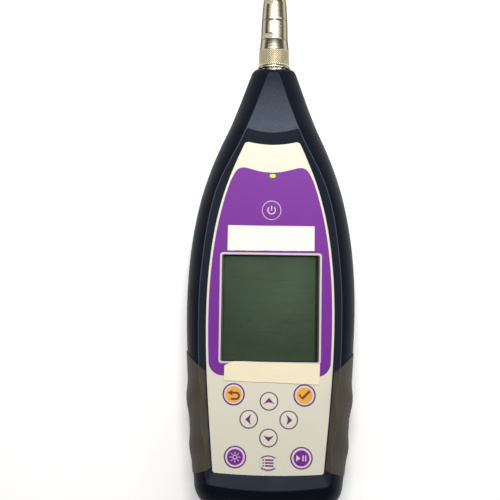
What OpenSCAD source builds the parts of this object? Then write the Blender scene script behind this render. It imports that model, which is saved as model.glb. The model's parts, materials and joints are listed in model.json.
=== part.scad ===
// Hand-held sound level meter, lying on its back.
// +Z is out of the display, +Y runs to the microphone, +X is to the reader's right.
// The origin is the mouth of the tripod thread in the middle of the flat back.
// All sizes are millimetres.

/* [Housing] */
// width across the widest part of the housing
body_w = 89.2; // [88.2:0.5:90.2]
// height of the line where the two shells meet
parting_z = 17; // [16.5:0.25:17.5]
// height of the ridge round the panel
ridge_z = 36; // [35:0.25:37]
// thickness of the shell walls
wall = 2.6; // [2.2:0.1:2.8]
// width of the flat along the top of the ridge
ridge_land = 0.6; // [0.4:0.1:0.8]
// thickness of the rubber grips
grip_t = 1.6; // [1.4:0.1:1.9]

/* [Panel] */
// height of the floor the membrane panel is bonded to
floor_z = 32.2; // [31.8:0.1:32.4]
// thickness of the printed membrane overlay
overlay_t = 1; // [0.8:0.1:1.2]
// gap round the overlay and round each key
key_gap = 0.25; // [0.2:0.05:0.3]
// how far a key is pressed
key_travel = 0.4; // [0.3:0.05:0.45]
// how far a key stands above the overlay
key_rise = 0.3; // [0.2:0.05:0.5]
// radius of the power key
power_r = 4.5; // [4:0.1:4.8]
// radius of the back and confirm keys
confirm_r = 5.1; // [4.8:0.1:5.3]
// radius of the four arrow keys
arrow_r = 4.25; // [4:0.05:4.5]
// radius of the backlight and run keys
action_r = 5.15; // [4.8:0.05:5.4]

/* [Display] */
// width of the cut-out over the display
view_w = 49.6; // [47:0.2:50.6]
// height of the cut-out over the display
view_h = 55.4; // [53:0.2:56.4]
// middle of the display along the meter
view_y = -10.2; // [-10.6:0.1:-9.8]

/* [Back] */
// radius of the quarter-inch tripod thread
tripod_r = 3.175; // [3.15:0.025:3.2]
// depth of the tripod thread
tripod_depth = 9; // [8:0.5:10]
// width of the battery door
door_w = 60.4; // [59.6:0.2:61]
// length of the battery door
door_l = 60.8; // [60:0.2:61]
// thickness of the battery door
door_t = 2; // [1.8:0.1:2.1]
// radius of a double-A cell
cell_r = 7.25; // [7:0.05:7.25]
// length of a double-A cell
cell_l = 50.5; // [49.5:0.25:50.5]

/* [Preamplifier] */
// height of the microphone axis above the back
axis_z = 18; // [17.8:0.1:18.2]
// radius of the knurled collar
collar_r = 8.2; // [8:0.05:8.4]
// number of flutes round the knurled collar
flutes = 36; // [24:2:40]
// radius of the preamplifier tube behind its seam
tube_r = 7.2; // [7.1:0.05:7.3]
// radius of the half-inch microphone
mic_r = 6.35; // [6.3:0.05:6.4]
// radius of the microphone's protection grid
grid_r = 6.6; // [6.55:0.05:6.65]

/* [Hidden] */
$fn = 48;
EPS = 0.01;
FULL = 360;

// outlines: each knot is [distance along the meter, half width, slope]
K = body_w / 89.2;
GIRTH = [[115.4, 12.1, -0.375], [80.5, 25.8, -0.48], [45, 38.6, -0.235],
    [-11, 44.6, 0], [-60, 42.4, 0.055], [-102, 39.1, 0.12]];
RIDGE = [[115, 2.6, -0.34], [80, 15.6, -0.45], [50, 29.6, -0.3],
    [10, 36.3, -0.1], [-18, 37.3, 0], [-100, 32.2, 0.09]];
PANEL = [[77.2, 14.1, -0.48], [50, 25.1, -0.31], [10, 32.45, -0.09],
    [-17.5, 33.52, 0], [-94.8, 28.85, 0.08]];

// the square end of the neck: its place along the meter, half its flat, its corner radius and how far that turns
NECK_Y = 118.4;
NECK_X = 8.27;
NECK_R = 3.9;
NECK_TURN = 69.4;
NECK_TOP = 115;
END_Y = -115;
CORNER_R = 13;
LOW_Y = END_Y + CORNER_R;
WEDGE_Y = 84.2;
PANEL_TOP = 77.2;
PANEL_END = -94.8;
RIDGE_END = -98.6;
BACK_TOP = 80;
BACK_END = 113;
NECK_FRONT_Z = 29;
NECK_BACK_Z = 7.5;
BACK_INSET = 7.5;
// how far the flank has turned where it meets the ridge, and how bowed the wedge is
FLANK_TURN = 65;
WEDGE_BOW = 0.4;
// where the fingers rest along the rubber, and the ends of the rubber
FINGERS = [[-58, 1.2, 10], [-83, 0.8, 8]];
GRIP_FROM = -92.6;
GRIP_TO = -43;
GRIP_STEPS = 9;

// stations round one half of every ring
END_N = 7;
WEDGE_N = 8;
SIDE_N = 26;
TURN_N = 6;
BASE_N = 5;

OVERLAY_Z = floor_z + 0.3;
FACE_Z = OVERLAY_Z + overlay_t;
KEY_LOW = OVERLAY_Z + 0.35 + key_travel;
KEY_EASE = 0.15;
KEY_H = FACE_Z + key_rise - KEY_EASE - KEY_LOW;
BOARD_Z = 24.4;
BOARD_T = 1.6;
BOARD_W = 28.9;
CELL_Z = door_t + 0.55 + cell_r;
CELL_PITCH = 14.8;
BUTTON_H = 1.2;
SPRING_H = 1.2;
DOOR_Y = -55.5;
TRAY_TOP = CELL_Z + cell_r + 0.5;
SOCKET_X = 14;
SOCKET_Z = 21.4;
LCD_Z = floor_z - 3.6;
COLLAR_Y = 119.9;
// five pins on a ring
PIN_STEP = FULL / 5;
PIN_AT = 3;
CONE_END = 157.2;
// longer than the housing
SLAB_L = 300;
SCREWS = [[15, 75.4], [32.5, 20], [28.5, -100]];
BOARD_SCREWS = [[26, 50], [26, -44]];
ROUND_KEYS = [[0, 40.9, power_r], [-18.3, -54.8, confirm_r], [18.3, -54.8, confirm_r],
    [0, -58.1, arrow_r], [0, -76.9, arrow_r], [-10.3, -67.5, arrow_r], [10.3, -67.5, arrow_r],
    [-17.1, -86.9, action_r], [17.1, -86.9, action_r]];
// the menu key is barrel shaped: its middle, the radius of its curved ends, half its height and its width
MENU = [0, -89.6, 6.5, 4, 8];
INSERT_R = 5.45;
// the indicator lens: its middle, the radius of its ends and the distance between them
LED = [0.3, 58.9, 1.25, 1.3];

HOUSING_C = "#232a35";
RUBBER_C = "#4b463e";
METAL_C = "#c9c2b4";
BOARD_C = "#1e5a37";
PANEL_C = "#7b3a94";
WHITE_C = "#ece6d4";
ORANGE_C = "#f0b446";

// ---- curves ----

function span(k, y, i = 0) = i == len(k) - 2 || y >= k[i + 1][0] ? i : span(k, y, i + 1);

// smooth curve through knots, by their values and slopes
function curve(k, y) =
    let(i = span(k, y), a = k[i], b = k[i + 1], d = b[0] - a[0], t = (y - a[0]) / d, u = 1 - t)
    u * u * (1 + 2 * t) * a[1] + t * u * u * d * a[2] + t * t * (3 - 2 * t) * b[1] - t * t * u * d * b[2];

function girth(y) = K * curve(GIRTH, y);
function ridge(y) = K * curve(RIDGE, y);
function panel(y) = K * curve(PANEL, y);
function mix(a, b, t) = a + (b - a) * t;
function hump(y, at, high, wide) = abs(y - at) < wide ? high * (1 + cos(180 * (y - at) / wide)) / 2 : 0;

// how far the rubber stands out along the side, for the fingers
function finger(y) = hump(y, FINGERS[0][0], FINGERS[0][1], FINGERS[0][2])
    + hump(y, FINGERS[1][0], FINGERS[1][1], FINGERS[1][2]);

// how far the wedge has fallen, for a point u of the way to the neck
function wedge_fall(u) = u * (1 - WEDGE_BOW + WEDGE_BOW * u);
function ridge_height(y) =
    y < WEDGE_Y ? ridge_z : mix(ridge_z, NECK_FRONT_Z, wedge_fall((y - WEDGE_Y) / (NECK_TOP - WEDGE_Y)));
function back_height(y) = y < BACK_TOP ? 0 : mix(0, NECK_BACK_Z, (y - BACK_TOP) / (BACK_END - BACK_TOP));

// a quarter turn of radius r round [x, y], from the side to the base
function turn(x, y, r) = [for (i = [1:TURN_N]) [x + r * cos(90 * i / TURN_N), y - r * sin(90 * i / TURN_N)]];

// the base edge from x to the middle, bowed out by b
function base(x, y, b) = [for (i = [1:BASE_N]) let(s = 1 - i / BASE_N) [x * s, y - b * (1 - s * s)]];

// one half of a ring with the given side function, from the microphone end to the base
function half_ring(side, top_x, top_y, low_y, r, bow) = concat(
    [for (i = [0:END_N - 1]) [top_x * i / END_N, top_y]],
    [for (i = [1:WEDGE_N]) let(y = mix(top_y, WEDGE_Y, i / WEDGE_N)) [side(y), y]],
    [for (i = [1:SIDE_N]) let(y = mix(WEDGE_Y, low_y, i / SIDE_N)) [side(y), y]],
    turn(side(low_y) - r, low_y, r),
    base(side(low_y) - r, low_y - r, bow));

// the same with the part above the top edge gathered onto a bowed line across
function gathered(side, top_x, top_y, dip, low_y, r, bow) =
    let(n = END_N + WEDGE_N - 1) concat(
    [for (i = [0:n]) let(s = i / n) [top_x * s, top_y - dip * (1 - s * s)]],
    [for (i = [1:SIDE_N]) let(y = mix(top_y, low_y, i / SIDE_N)) [side(y), y]],
    turn(side(low_y) - r, low_y, r),
    base(side(low_y) - r, low_y - r, bow));

// the widest ring, with the square end of the neck rounded at its corners
function girth_half(g) = concat(
    [for (i = [0:2]) [NECK_X * i / 3, NECK_Y + g]],
    [for (i = [0:3]) let(a = NECK_TURN * i / 3)
        [NECK_X + (NECK_R + g) * sin(a), NECK_Y - NECK_R + (NECK_R + g) * cos(a)]],
    [for (i = [1:WEDGE_N]) let(y = mix(NECK_Y - NECK_R * (1 - cos(NECK_TURN)), WEDGE_Y, i / WEDGE_N))
        [girth(y) + g, y]],
    [for (i = [1:SIDE_N]) let(y = mix(WEDGE_Y, LOW_Y, i / SIDE_N))
        [girth(y) + g + (g > 0 ? finger(y) : 0), y]],
    turn(girth(LOW_Y) - CORNER_R, LOW_Y, CORNER_R + g),
    base(girth(LOW_Y) - CORNER_R, END_Y - g, 0.5));

function lift(half, z) = [for (p = half) [p[0], p[1], z]];
function whole(half) = concat(half, [for (i = [len(half) - 2:-1:1]) [-half[i][0], half[i][1], half[i][2]]]);

// rings from the flat back, round the girth, over the ridge and down to the panel floor
// g grows or shrinks the skin
function rings(g) =
    let(
        side_r = function (y) ridge(y),
        side_i = function (y) ridge(y) - ridge_land,
        side_p = function (y) panel(y) + g / 4,
        side_b = function (y) girth(y) - BACK_INSET,
        side_f = function (y) girth(y) - BACK_INSET - ridge_land,
        girth_xy = girth_half(g),
        ridge_xy = half_ring(side_r, 2.6, NECK_TOP, RIDGE_END, 3, 2.6),
        back_xy = half_ring(side_b, 5, BACK_END, LOW_Y, 6, 0.5),
        over = [for (p = ridge_xy) [p[0], p[1], ridge_height(p[1]) + g]],
        under = [for (p = back_xy) [p[0], p[1], back_height(p[1]) - min(g, 0)]],
        flat_x = girth(BACK_TOP) - BACK_INSET - ridge_land,
        flat_xy = gathered(side_f, flat_x, BACK_TOP, 0, LOW_Y, 5.4, 0.5),
        rim_xy = gathered(side_i, ridge(WEDGE_Y) - ridge_land, WEDGE_Y - 0.4, 2.3, RIDGE_END, 2.4, 2.6),
        floor_xy = gathered(side_p, panel(PANEL_TOP) - 0.6, PANEL_TOP, 1.7, PANEL_END + 1, 1, 1),
        wedge = [for (t = [0.25, 0.5, 0.75]) [for (i = [0:len(over) - 1])
            let(p = mix(ridge_xy[i], rim_xy[i], t)) [p[0], p[1], ridge_height(p[1]) + g]]])
    [for (h = concat(
        [lift(flat_xy, -min(g, 0)), under],
        [for (a = [72, 54, 34, 16]) bend(girth_xy, under, a, 90)],
        [lift(girth_xy, parting_z)],
        [for (a = [12, 25, 38, 52]) bend(girth_xy, over, a, FLANK_TURN)],
        [over],
        wedge,
        [lift(rim_xy, ridge_z + g), lift(floor_xy, FACE_Z - 0.2 + g), lift(floor_xy, floor_z + g)])) whole(h)];

// a ring at angle a on the arc that leaves the girth upright and reaches an edge ring
// after turning through full
function bend(flat, edge, a, full) = [for (i = [0:len(flat) - 1])
    let(s = (cos(a) - cos(full)) / (1 - cos(full)), c = sin(a) / sin(full), e = edge[i])
    [mix(e[0], flat[i][0], s), mix(e[1], flat[i][1], s), mix(parting_z, e[2], c)]];

module loft(r) {
    n = len(r[0]);
    m = len(r);
    polyhedron(
        points = [for (ring = r) each ring],
        faces = concat(
            [[for (i = [n - 1:-1:0]) i]],
            [for (j = [0:m - 2], i = [0:n - 1]) [j * n + i, (j + 1) * n + (i + 1) % n, (j + 1) * n + i]],
            [for (j = [0:m - 2], i = [0:n - 1]) [j * n + i, j * n + (i + 1) % n, (j + 1) * n + (i + 1) % n]],
            [[for (i = [0:n - 1]) (m - 1) * n + i]]),
        convexity = 8);
}

module housing_form(g = 0) {
    loft(rings(g));
}

module outline(inset) {
    offset(delta = -inset) polygon([for (p = whole(lift(girth_half(0), 0))) [p[0], p[1]]]);
}

// ---- shared shapes ----

module both_sides() {
    children();
    mirror([1, 0, 0]) children();
}

// a shape built up +Z from the origin, stood along +Y on the microphone axis
module on_axis(y = 0) {
    translate([0, y, axis_z]) rotate([-90, 0, 0]) children();
}

module block(size, at) {
    translate([at[0] - size[0] / 2, at[1] - size[1] / 2, at[2]]) cube(size);
}

module tube(r, bore, h) {
    difference() {
        cylinder(r = r, h = h);
        translate([0, 0, -EPS]) cylinder(r = bore, h = h + 2 * EPS);
    }
}

// hollow inside the shells, stepped to follow the rounding, stopping short of the neck
module hollow(z, top, inset) {
    intersection() {
        translate([0, 0, z]) linear_extrude(top - z) outline(inset);
        block([2 * body_w, WEDGE_Y - END_Y, top], [0, (WEDGE_Y + END_Y) / 2 - 3, 0]);
    }
}

module neck_bore() {
    on_axis(WEDGE_Y - 8) cylinder(r = 5.6, h = 40);
    on_axis(107) cylinder(r = 7.3, h = 20);
}

// a screw boss tied to the wall by a web
module boss(at, z, h, r) {
    hull() {
        translate([at[0], at[1], z]) cylinder(r = r, h = h, $fn = 24);
        translate([at[0] * 1.06, at[1], z]) cylinder(r = r * 0.7, h = h, $fn = 24);
    }
}

// an upright slab from the edge of the panel out past the side, sloping out by the given rise
module grip_slab(x, y, rise) {
    out = 50;
    translate([0, 0, 4]) linear_extrude(ridge_z)
        polygon([[x, y], [out, y + rise], [out, y + rise + EPS], [x, y + EPS]]);
}

// the part of the side the rubber covers, in steps along the curved edge of the panel
module grip_region() {
    for (i = [0:GRIP_STEPS - 1]) {
        low = mix(GRIP_FROM, GRIP_TO, i / GRIP_STEPS);
        high = mix(GRIP_FROM, GRIP_TO, (i + 1) / GRIP_STEPS);
        hull() {
            grip_slab(panel(low) + 0.7, low, i == 0 ? -6.4 : 0);
            grip_slab(panel(high) + 0.7, high, i == GRIP_STEPS - 1 ? 16.5 : 0);
        }
    }
}

module grip_ring(outside, inside) {
    intersection() {
        grip_region();
        difference() {
            housing_form(outside);
            housing_form(inside);
        }
    }
}

module key_disc(at) {
    translate([at[0], at[1], KEY_LOW]) {
        cylinder(r = at[2], h = KEY_H);
        translate([0, 0, KEY_H]) cylinder(r1 = at[2], r2 = at[2] - 0.2, h = KEY_EASE);
    }
}

module menu_outline(grow) {
    translate([MENU[0], MENU[1]]) intersection() {
        translate([0, MENU[3] - MENU[2]]) circle(r = MENU[2] + grow, $fn = 96);
        translate([0, MENU[2] - MENU[3]]) circle(r = MENU[2] + grow, $fn = 96);
        square([MENU[4] + 2 * grow, 3 * MENU[3]], center = true);
    }
}

module led_outline(r) {
    translate([LED[0], LED[1]]) {
        square([LED[3], 2 * r], center = true);
        for (s = [-1, 1]) translate([s * LED[3] / 2, 0]) circle(r = r);
    }
}

module panel_outline(inset) {
    half = gathered(function (y) panel(y) - inset, panel(PANEL_TOP) - 0.6 - inset, PANEL_TOP - inset, 1.7,
        PANEL_END + 1 + inset, 1, 1);
    polygon([for (p = whole(lift(half, 0))) [p[0], p[1]]]);
}

// ---- housing ----

module front_shell() {
    color(HOUSING_C) difference() {
        intersection() {
            housing_form();
            union() {
                difference() {
                    block([2 * body_w, SLAB_L, ridge_z], [0, 0, parting_z]);
                    hollow(parting_z - 1, 26, wall + 1.4);
                    hollow(25, floor_z - wall, wall + 3.2);
                }
                for (p = SCREWS) both_sides() boss(p, parting_z, floor_z - parting_z - 1, 3.2);
                for (p = BOARD_SCREWS) both_sides() boss(p, BOARD_Z + BOARD_T, floor_z - wall - BOARD_Z - 1, 2.4);
            }
        }
        for (p = SCREWS) both_sides() translate([p[0], p[1], parting_z - 1]) cylinder(r = 1.3, h = 9, $fn = 24);
        for (p = BOARD_SCREWS) both_sides() translate([p[0], p[1], BOARD_Z]) cylinder(r = 0.9, h = 5, $fn = 24);
        block([view_w + 1.4, view_h + 1.6, 10], [0, view_y, floor_z - 8]);
        block([view_w + 3.8, view_h + 4, 2], [0, view_y, floor_z - 1]);
        translate([0, 0, floor_z - 4]) linear_extrude(5) led_outline(LED[2]);
        neck_bore();
        translate([-SOCKET_X, END_Y + 5, SOCKET_Z]) rotate([90, 0, 0]) cylinder(r = 3.15, h = 10);
        block([8, 12, 4.2], [0, END_Y, 19.5]);
        translate([SOCKET_X, END_Y + 5, SOCKET_Z]) rotate([90, 0, 0]) cylinder(r = 3.9, h = 10);
        for (s = [0, 1]) mirror([s, 0, 0]) grip_ring(grip_t, -grip_t);
    }
}

module rear_shell() {
    color(HOUSING_C) difference() {
        intersection() {
            housing_form();
            union() {
                difference() {
                    block([2 * body_w, SLAB_L, parting_z + 1], [0, 0, -1]);
                    hollow(wall - 0.2, 7.5, wall + 3.6);
                    hollow(7, 12.5, wall + 1.2);
                    hollow(12, parting_z + 2, wall + 0.4);
                    block([2 * body_w, SLAB_L, 4], [0, 0, parting_z]);
                }
                for (p = SCREWS) both_sides() boss(p, 1.5, parting_z - 1.5, 3.9);
                for (y = [30, -92]) both_sides() boss([12, y], 1.5, parting_z - 1.5, 2);
                translate([0, 0, 1.5]) cylinder(r = 8, h = tripod_depth + 2);
                block([door_w + 3.4, door_l + 3.4, TRAY_TOP + 1.4 - 1.5], [0, DOOR_Y, 1.5]);
            }
        }
        for (p = SCREWS) both_sides() {
            translate([p[0], p[1], -1]) cylinder(r = 3.1, h = 6, $fn = 32);
            translate([p[0], p[1], 0]) cylinder(r = 1.65, h = 40, $fn = 30);
        }
        translate([0, 0, -1]) cylinder(r = INSERT_R + 0.05, h = tripod_depth + 1.4);
        block([door_w + 0.8, door_l + 0.8, door_t + 2.1], [0, DOOR_Y, -2]);
        block([door_w - 0.8, door_l - 2.4, TRAY_TOP], [0, DOOR_Y, 0]);
        neck_bore();
        for (s = [0, 1]) mirror([s, 0, 0]) grip_ring(grip_t, -grip_t);
    }
}

module left_grip() {
    color(RUBBER_C) mirror([1, 0, 0]) grip_ring(0.35, -grip_t);
}

module right_grip() {
    color(RUBBER_C) grip_ring(0.35, -grip_t);
}

module battery_door() {
    color(HOUSING_C) difference() {
        union() {
            block([door_w, door_l, door_t], [0, DOOR_Y, 0]);
            block([12, 1.2, 3], [0, DOOR_Y - door_l / 2 + 2.4, door_t - EPS]);
        }
        for (i = [0:4]) block([16, 0.9, 0.5], [0, DOOR_Y - door_l / 2 + 6 + 1.8 * i, -EPS]);
    }
}

module tripod_insert() {
    color(METAL_C) difference() {
        cylinder(r = INSERT_R, h = tripod_depth);
        translate([0, 0, -EPS]) cylinder(r = tripod_r, h = tripod_depth - 1);
    }
}

module housing_screws() {
    color(METAL_C) for (p = SCREWS) both_sides() translate([p[0], p[1], 0]) difference() {
        union() {
            translate([0, 0, 3]) cylinder(r = 2.8, h = 2);
            translate([0, 0, 5]) cylinder(r = 1.25, h = parting_z + 2);
        }
        block([0.9, 3.2, 1], [0, 0, 3 - EPS]);
        block([3.2, 0.9, 1], [0, 0, 3 - EPS]);
    }
}

// ---- membrane panel ----

module panel_overlay() {
    color(PANEL_C) translate([0, 0, OVERLAY_Z]) difference() {
        linear_extrude(overlay_t) panel_outline(key_gap);
        for (k = ROUND_KEYS) translate([k[0], k[1], -1]) cylinder(r = k[2] + key_gap, h = 4);
        translate([0, 0, -1]) linear_extrude(4) menu_outline(key_gap);
        translate([0, 0, -1]) linear_extrude(4) led_outline(LED[2]);
        block([view_w, view_h, 4], [0, view_y, -1]);
    }
}

module key_circuit() {
    color(METAL_C) translate([0, 0, floor_z]) difference() {
        linear_extrude(0.3) panel_outline(key_gap + 1.2);
        block([view_w + 2, view_h + 2, 2], [0, view_y, -1]);
        translate([0, 0, -1]) linear_extrude(3) led_outline(LED[2]);
    }
}

module key_domes() {
    color(METAL_C) for (k = concat(ROUND_KEYS, [[MENU[0], MENU[1], 0]]))
        translate([k[0], k[1], OVERLAY_Z]) cylinder(r1 = 3, r2 = 1.8, h = 0.35);
}

module key_power() {
    color(PANEL_C) key_disc(ROUND_KEYS[0]);
}

module key_back() {
    color(ORANGE_C) key_disc(ROUND_KEYS[1]);
}

module key_ok() {
    color(ORANGE_C) key_disc(ROUND_KEYS[2]);
}

module key_up() {
    color(WHITE_C) key_disc(ROUND_KEYS[3]);
}

module key_down() {
    color(WHITE_C) key_disc(ROUND_KEYS[4]);
}

module key_left() {
    color(WHITE_C) key_disc(ROUND_KEYS[5]);
}

module key_right() {
    color(WHITE_C) key_disc(ROUND_KEYS[6]);
}

module key_backlight() {
    color(PANEL_C) key_disc(ROUND_KEYS[7]);
}

module key_run() {
    color(PANEL_C) key_disc(ROUND_KEYS[8]);
}

module key_menu() {
    color(WHITE_C) translate([0, 0, KEY_LOW]) linear_extrude(FACE_Z + key_rise - KEY_LOW) menu_outline(0);
}

module display_window() {
    color("#aab8b4", 0.4) block([view_w + 3.4, view_h + 3.6, 1], [0, view_y, floor_z - 1]);
}

module lcd_panel() {
    color("#56685a") block([view_w + 1, view_h + 1.2, 2.5], [0, view_y, LCD_Z]);
}

module lcd_backlight() {
    color(WHITE_C) block([view_w + 1, view_h + 1.2, LCD_Z - BOARD_Z - BOARD_T], [0, view_y, BOARD_Z + BOARD_T]);
}

module led_lens() {
    color("#b8f050") difference() {
        translate([0, 0, OVERLAY_Z]) linear_extrude(overlay_t + 0.3) led_outline(LED[2] - 0.05);
        translate([0, 0, OVERLAY_Z - EPS]) linear_extrude(0.7) led_outline(LED[2] - 0.4);
    }
}

module status_led() {
    color(WHITE_C) block([1.4, 0.9, 0.8], [LED[0], LED[1], OVERLAY_Z - 0.3]);
}

module paper_label() {
    color(WHITE_C) block([45, 13, 0.15], [-0.1, 26.3, FACE_Z]);
}

module masking_tape() {
    color("#efe3c0") translate([1.2, -43.5, FACE_Z]) linear_extrude(0.15) rotate(-1)
        polygon([[-22.2, 4.9], [25.2, 5.3], [24.6, -5.1], [-24.4, -4.6], [-23.6, 0]]);
}

// ---- inside ----

module main_board() {
    color(BOARD_C) translate([0, 0, BOARD_Z]) difference() {
        linear_extrude(BOARD_T) polygon([[20, 70], [BOARD_W, 48], [BOARD_W, -84], [22, -100],
            [-22, -100], [-BOARD_W, -84], [-BOARD_W, 48], [-20, 70]]);
        for (p = BOARD_SCREWS) both_sides() translate([p[0], p[1], -1]) cylinder(r = 1.3, h = 4);
    }
}

module board_components() {
    color("#2b2b2e") {
        block([14, 14, 1.4], [-8, 10, BOARD_Z - 1.4]);
        block([10, 10, 1.2], [14, 36, BOARD_Z - 1.2]);
        block([24, 18, 3], [0, 54, BOARD_Z - 3]);
        block([8, 6, 1.6], [18, -10, BOARD_Z - 1.6]);
        block([20, 4, 2.6], [0, -48, BOARD_Z + BOARD_T]);
        for (i = [0:3]) translate([-20 + 13 * i, 34 - 5 * i, BOARD_Z - 4]) cylinder(r = 2, h = 4);
    }
}

module board_screws() {
    color(METAL_C) for (p = BOARD_SCREWS) both_sides() translate([p[0], p[1], 0]) {
        translate([0, 0, BOARD_Z - 1.3]) cylinder(r = 2, h = 1.3);
        translate([0, 0, BOARD_Z]) cylinder(r = 0.85, h = 4.5);
    }
}

// cells lie side by side, turn about; up turns the shape to point along the first of them
module on_cell(i, up) {
    translate([CELL_PITCH * (i - 1.5), DOOR_Y - 0.9, CELL_Z]) rotate([i % 2 == 0 ? up : -up, 0, 0]) children();
}

module battery_cells() {
    color("#b9893b") for (i = [0:3]) on_cell(i, 90) {
        translate([0, 0, -cell_l / 2]) cylinder(r = cell_r, h = cell_l - BUTTON_H);
        translate([0, 0, cell_l / 2 - BUTTON_H]) cylinder(r = 2.75, h = BUTTON_H);
    }
}

module battery_springs() {
    color(METAL_C) for (i = [0:3]) on_cell(i, -90) {
        translate([0, 0, cell_l / 2]) tube(3.4, 2.6, SPRING_H);
        translate([0, 0, cell_l / 2 + SPRING_H]) tube(4, 3, SPRING_H);
    }
}

module battery_plates() {
    color(METAL_C) for (y = [-1, 1], x = [-1, 0, 1])
        block([x == 0 ? 26 : 12, 0.4, 10], [x * 21.5, DOOR_Y + y * 28.95, CELL_Z - 5]);
}

module output_jack() {
    color("#1b1b1d") translate([-SOCKET_X, END_Y + 4.3, SOCKET_Z]) rotate([-90, 0, 0]) difference() {
        union() {
            block([7.6, 6, 12], [0, 0, 0]);
            translate([0, 0, -4.1]) cylinder(r = 2.9, h = 4.2);
        }
        translate([0, 0, -5]) cylinder(r = 1.8, h = 16);
    }
}

module usb_socket() {
    color(METAL_C) {
        difference() {
            block([7.7, 9.2, 3.9], [0, END_Y + 4.9, BOARD_Z - 4.7]);
            block([6.9, 9.2, 3.1], [0, END_Y + 4.3, BOARD_Z - 4.3]);
        }
        block([7.7, 5, 0.81], [0, END_Y + 7, BOARD_Z - 0.81]);
        block([5.2, 6, 1], [0, END_Y + 6, BOARD_Z - 3.3]);
        block([1, 0.6, 3.5], [0, END_Y + 8.9, BOARD_Z - 4.6]);
    }
}

module power_socket() {
    color("#1b1b1d") translate([SOCKET_X, END_Y + 4.3, SOCKET_Z]) rotate([-90, 0, 0]) {
        difference() {
            union() {
                block([9, 6, 12], [0, 0, 0]);
                translate([0, 0, -4.1]) cylinder(r = 3.7, h = 4.2);
            }
            translate([0, 0, -5]) cylinder(r = 2.8, h = 15);
        }
        translate([0, 0, -2]) cylinder(r = 1, h = 13);
    }
}

// ---- microphone connector and preamplifier ----

module preamp_socket() {
    color(METAL_C) on_axis() difference() {
        union() {
            translate([0, 0, 108]) cylinder(r = 7.2, h = 11);
            translate([0, 0, NECK_Y]) cylinder(r = collar_r + 0.35, h = 1.2);
            translate([0, 0, NECK_Y]) cylinder(r = 7.1, h = 7.1);
        }
        translate([0, 0, 107]) cylinder(r = 5.5, h = 30);
    }
}

module socket_insulator() {
    color("#1b1b1d") on_axis(108.5) difference() {
        cylinder(r = 5.5, h = 7);
        for (a = [0:PIN_STEP:FULL - 1]) rotate(a) translate([PIN_AT, 0, -1]) cylinder(r = 0.6, h = 10);
    }
}

module socket_contacts() {
    color(METAL_C) on_axis(105) for (a = [0:PIN_STEP:FULL - 1]) rotate(a) translate([PIN_AT, 0, 0]) difference() {
        cylinder(r = 0.6, h = 10.5);
        translate([0, 0, 4]) cylinder(r = 0.45, h = 8);
    }
}

module knurled_collar() {
    color(METAL_C) on_axis(COLLAR_Y) difference() {
        rotate_extrude() polygon([[7.3, 0], [collar_r - 0.3, 0], [collar_r, 0.3],
            [collar_r, 8.2], [collar_r - 0.3, 8.6], [7.95, 8.7], [7.6, 10.4], [7.3, 13.8],
            [6.9, 13.8], [6.9, 8.3], [7.3, 8.3]]);
        for (i = [0:flutes - 1]) rotate(i * FULL / flutes) translate([collar_r + 0.1, 0, -1]) rotate(45)
            block([0.6, 0.6, 9.3], [0, 0, 0]);
        for (i = [1:7]) translate([0, 0, i * 1.08]) tube(collar_r + 1, collar_r - 0.25, 0.25);
    }
}

module preamp_plug() {
    color(METAL_C) on_axis(120.5) difference() {
        union() {
            cylinder(r = 5.3, h = 7);
            translate([0, 0, 5.5]) cylinder(r = 7.1, h = 1.9);
        }
        translate([0, 0, -1]) cylinder(r = 4.2, h = 12);
    }
}

module plug_insulator() {
    color("#1b1b1d") on_axis(121.5) difference() {
        cylinder(r = 4.2, h = 6);
        for (a = [0:PIN_STEP:FULL - 1]) rotate(a) translate([PIN_AT, 0, -1]) cylinder(r = 0.4, h = 10);
    }
}

module plug_pins() {
    color(METAL_C) on_axis(111) for (a = [0:PIN_STEP:FULL - 1])
        rotate(a) translate([PIN_AT, 0, 0]) cylinder(r = 0.4, h = 19);
}

// a shallow slot for a spanner, on the upper left of a tube
// floor_r is the radius its floor lies at, r the radius of its round ends
module spanner_slot(at, floor_r, length, r) {
    rotate(-26) translate([0, -floor_r, at]) rotate([90, 0, 0]) {
        block([length - 2 * r, 2 * r, 2], [0, 0, 0]);
        for (s = [-1, 1]) translate([s * (length / 2 - r), 0, 0]) cylinder(r = r, h = 2);
    }
}

module preamp_tube() {
    color(METAL_C) on_axis(127.9) difference() {
        rotate_extrude() polygon([[5.9, 0], [6.75, 0], [6.75, 6], [tube_r, 6], [tube_r, 6.5], [tube_r - 0.1, 8],
            [tube_r - 0.25, 15.8], [tube_r - 0.4, 16.7], [6, 16.7], [6, 12.7], [5.9, 12.6]]);
        spanner_slot(7.9, 6.4, 6.2, 1.45);
    }
}

module preamp_cone() {
    color(METAL_C) on_axis(141) difference() {
        rotate_extrude() polygon([[5, 0], [5.95, 0], [5.95, 3.75], [6.8, 3.75], [6.75, 5], [6.15, 13.6], [5.5, 16.2],
            [5.4, 16.2], [5.4, 19.4], [4, 19.4], [4, 16], [5, 13]]);
        spanner_slot(13.4, 5.7, 4.4, 1.3);
    }
}

module preamp_board() {
    color(BOARD_C) block([8, 24, 1.2], [0, 142, axis_z - 0.6]);
}

// ---- microphone ----

module mic_cartridge() {
    color(METAL_C) on_axis(CONE_END + 0.1) rotate_extrude() polygon([[5.6, 0], [5.95, 0], [mic_r, 0.5], [mic_r, 9],
        [5.9, 9], [5.9, 12], [5.3, 12], [5.3, 4], [5.6, 4]]);
}

module mic_insulator() {
    color(WHITE_C) on_axis(CONE_END + 6) tube(5.3, 1, 2);
}

module mic_backplate() {
    color(METAL_C) on_axis(CONE_END + 1) {
        cylinder(r = 1, h = 9.2);
        translate([0, 0, 9.1]) cylinder(r = 4.2, h = 1.9);
    }
}

module mic_diaphragm() {
    color(METAL_C) on_axis(CONE_END + 12.1) cylinder(r = 5.7, h = 0.15);
}

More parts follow.
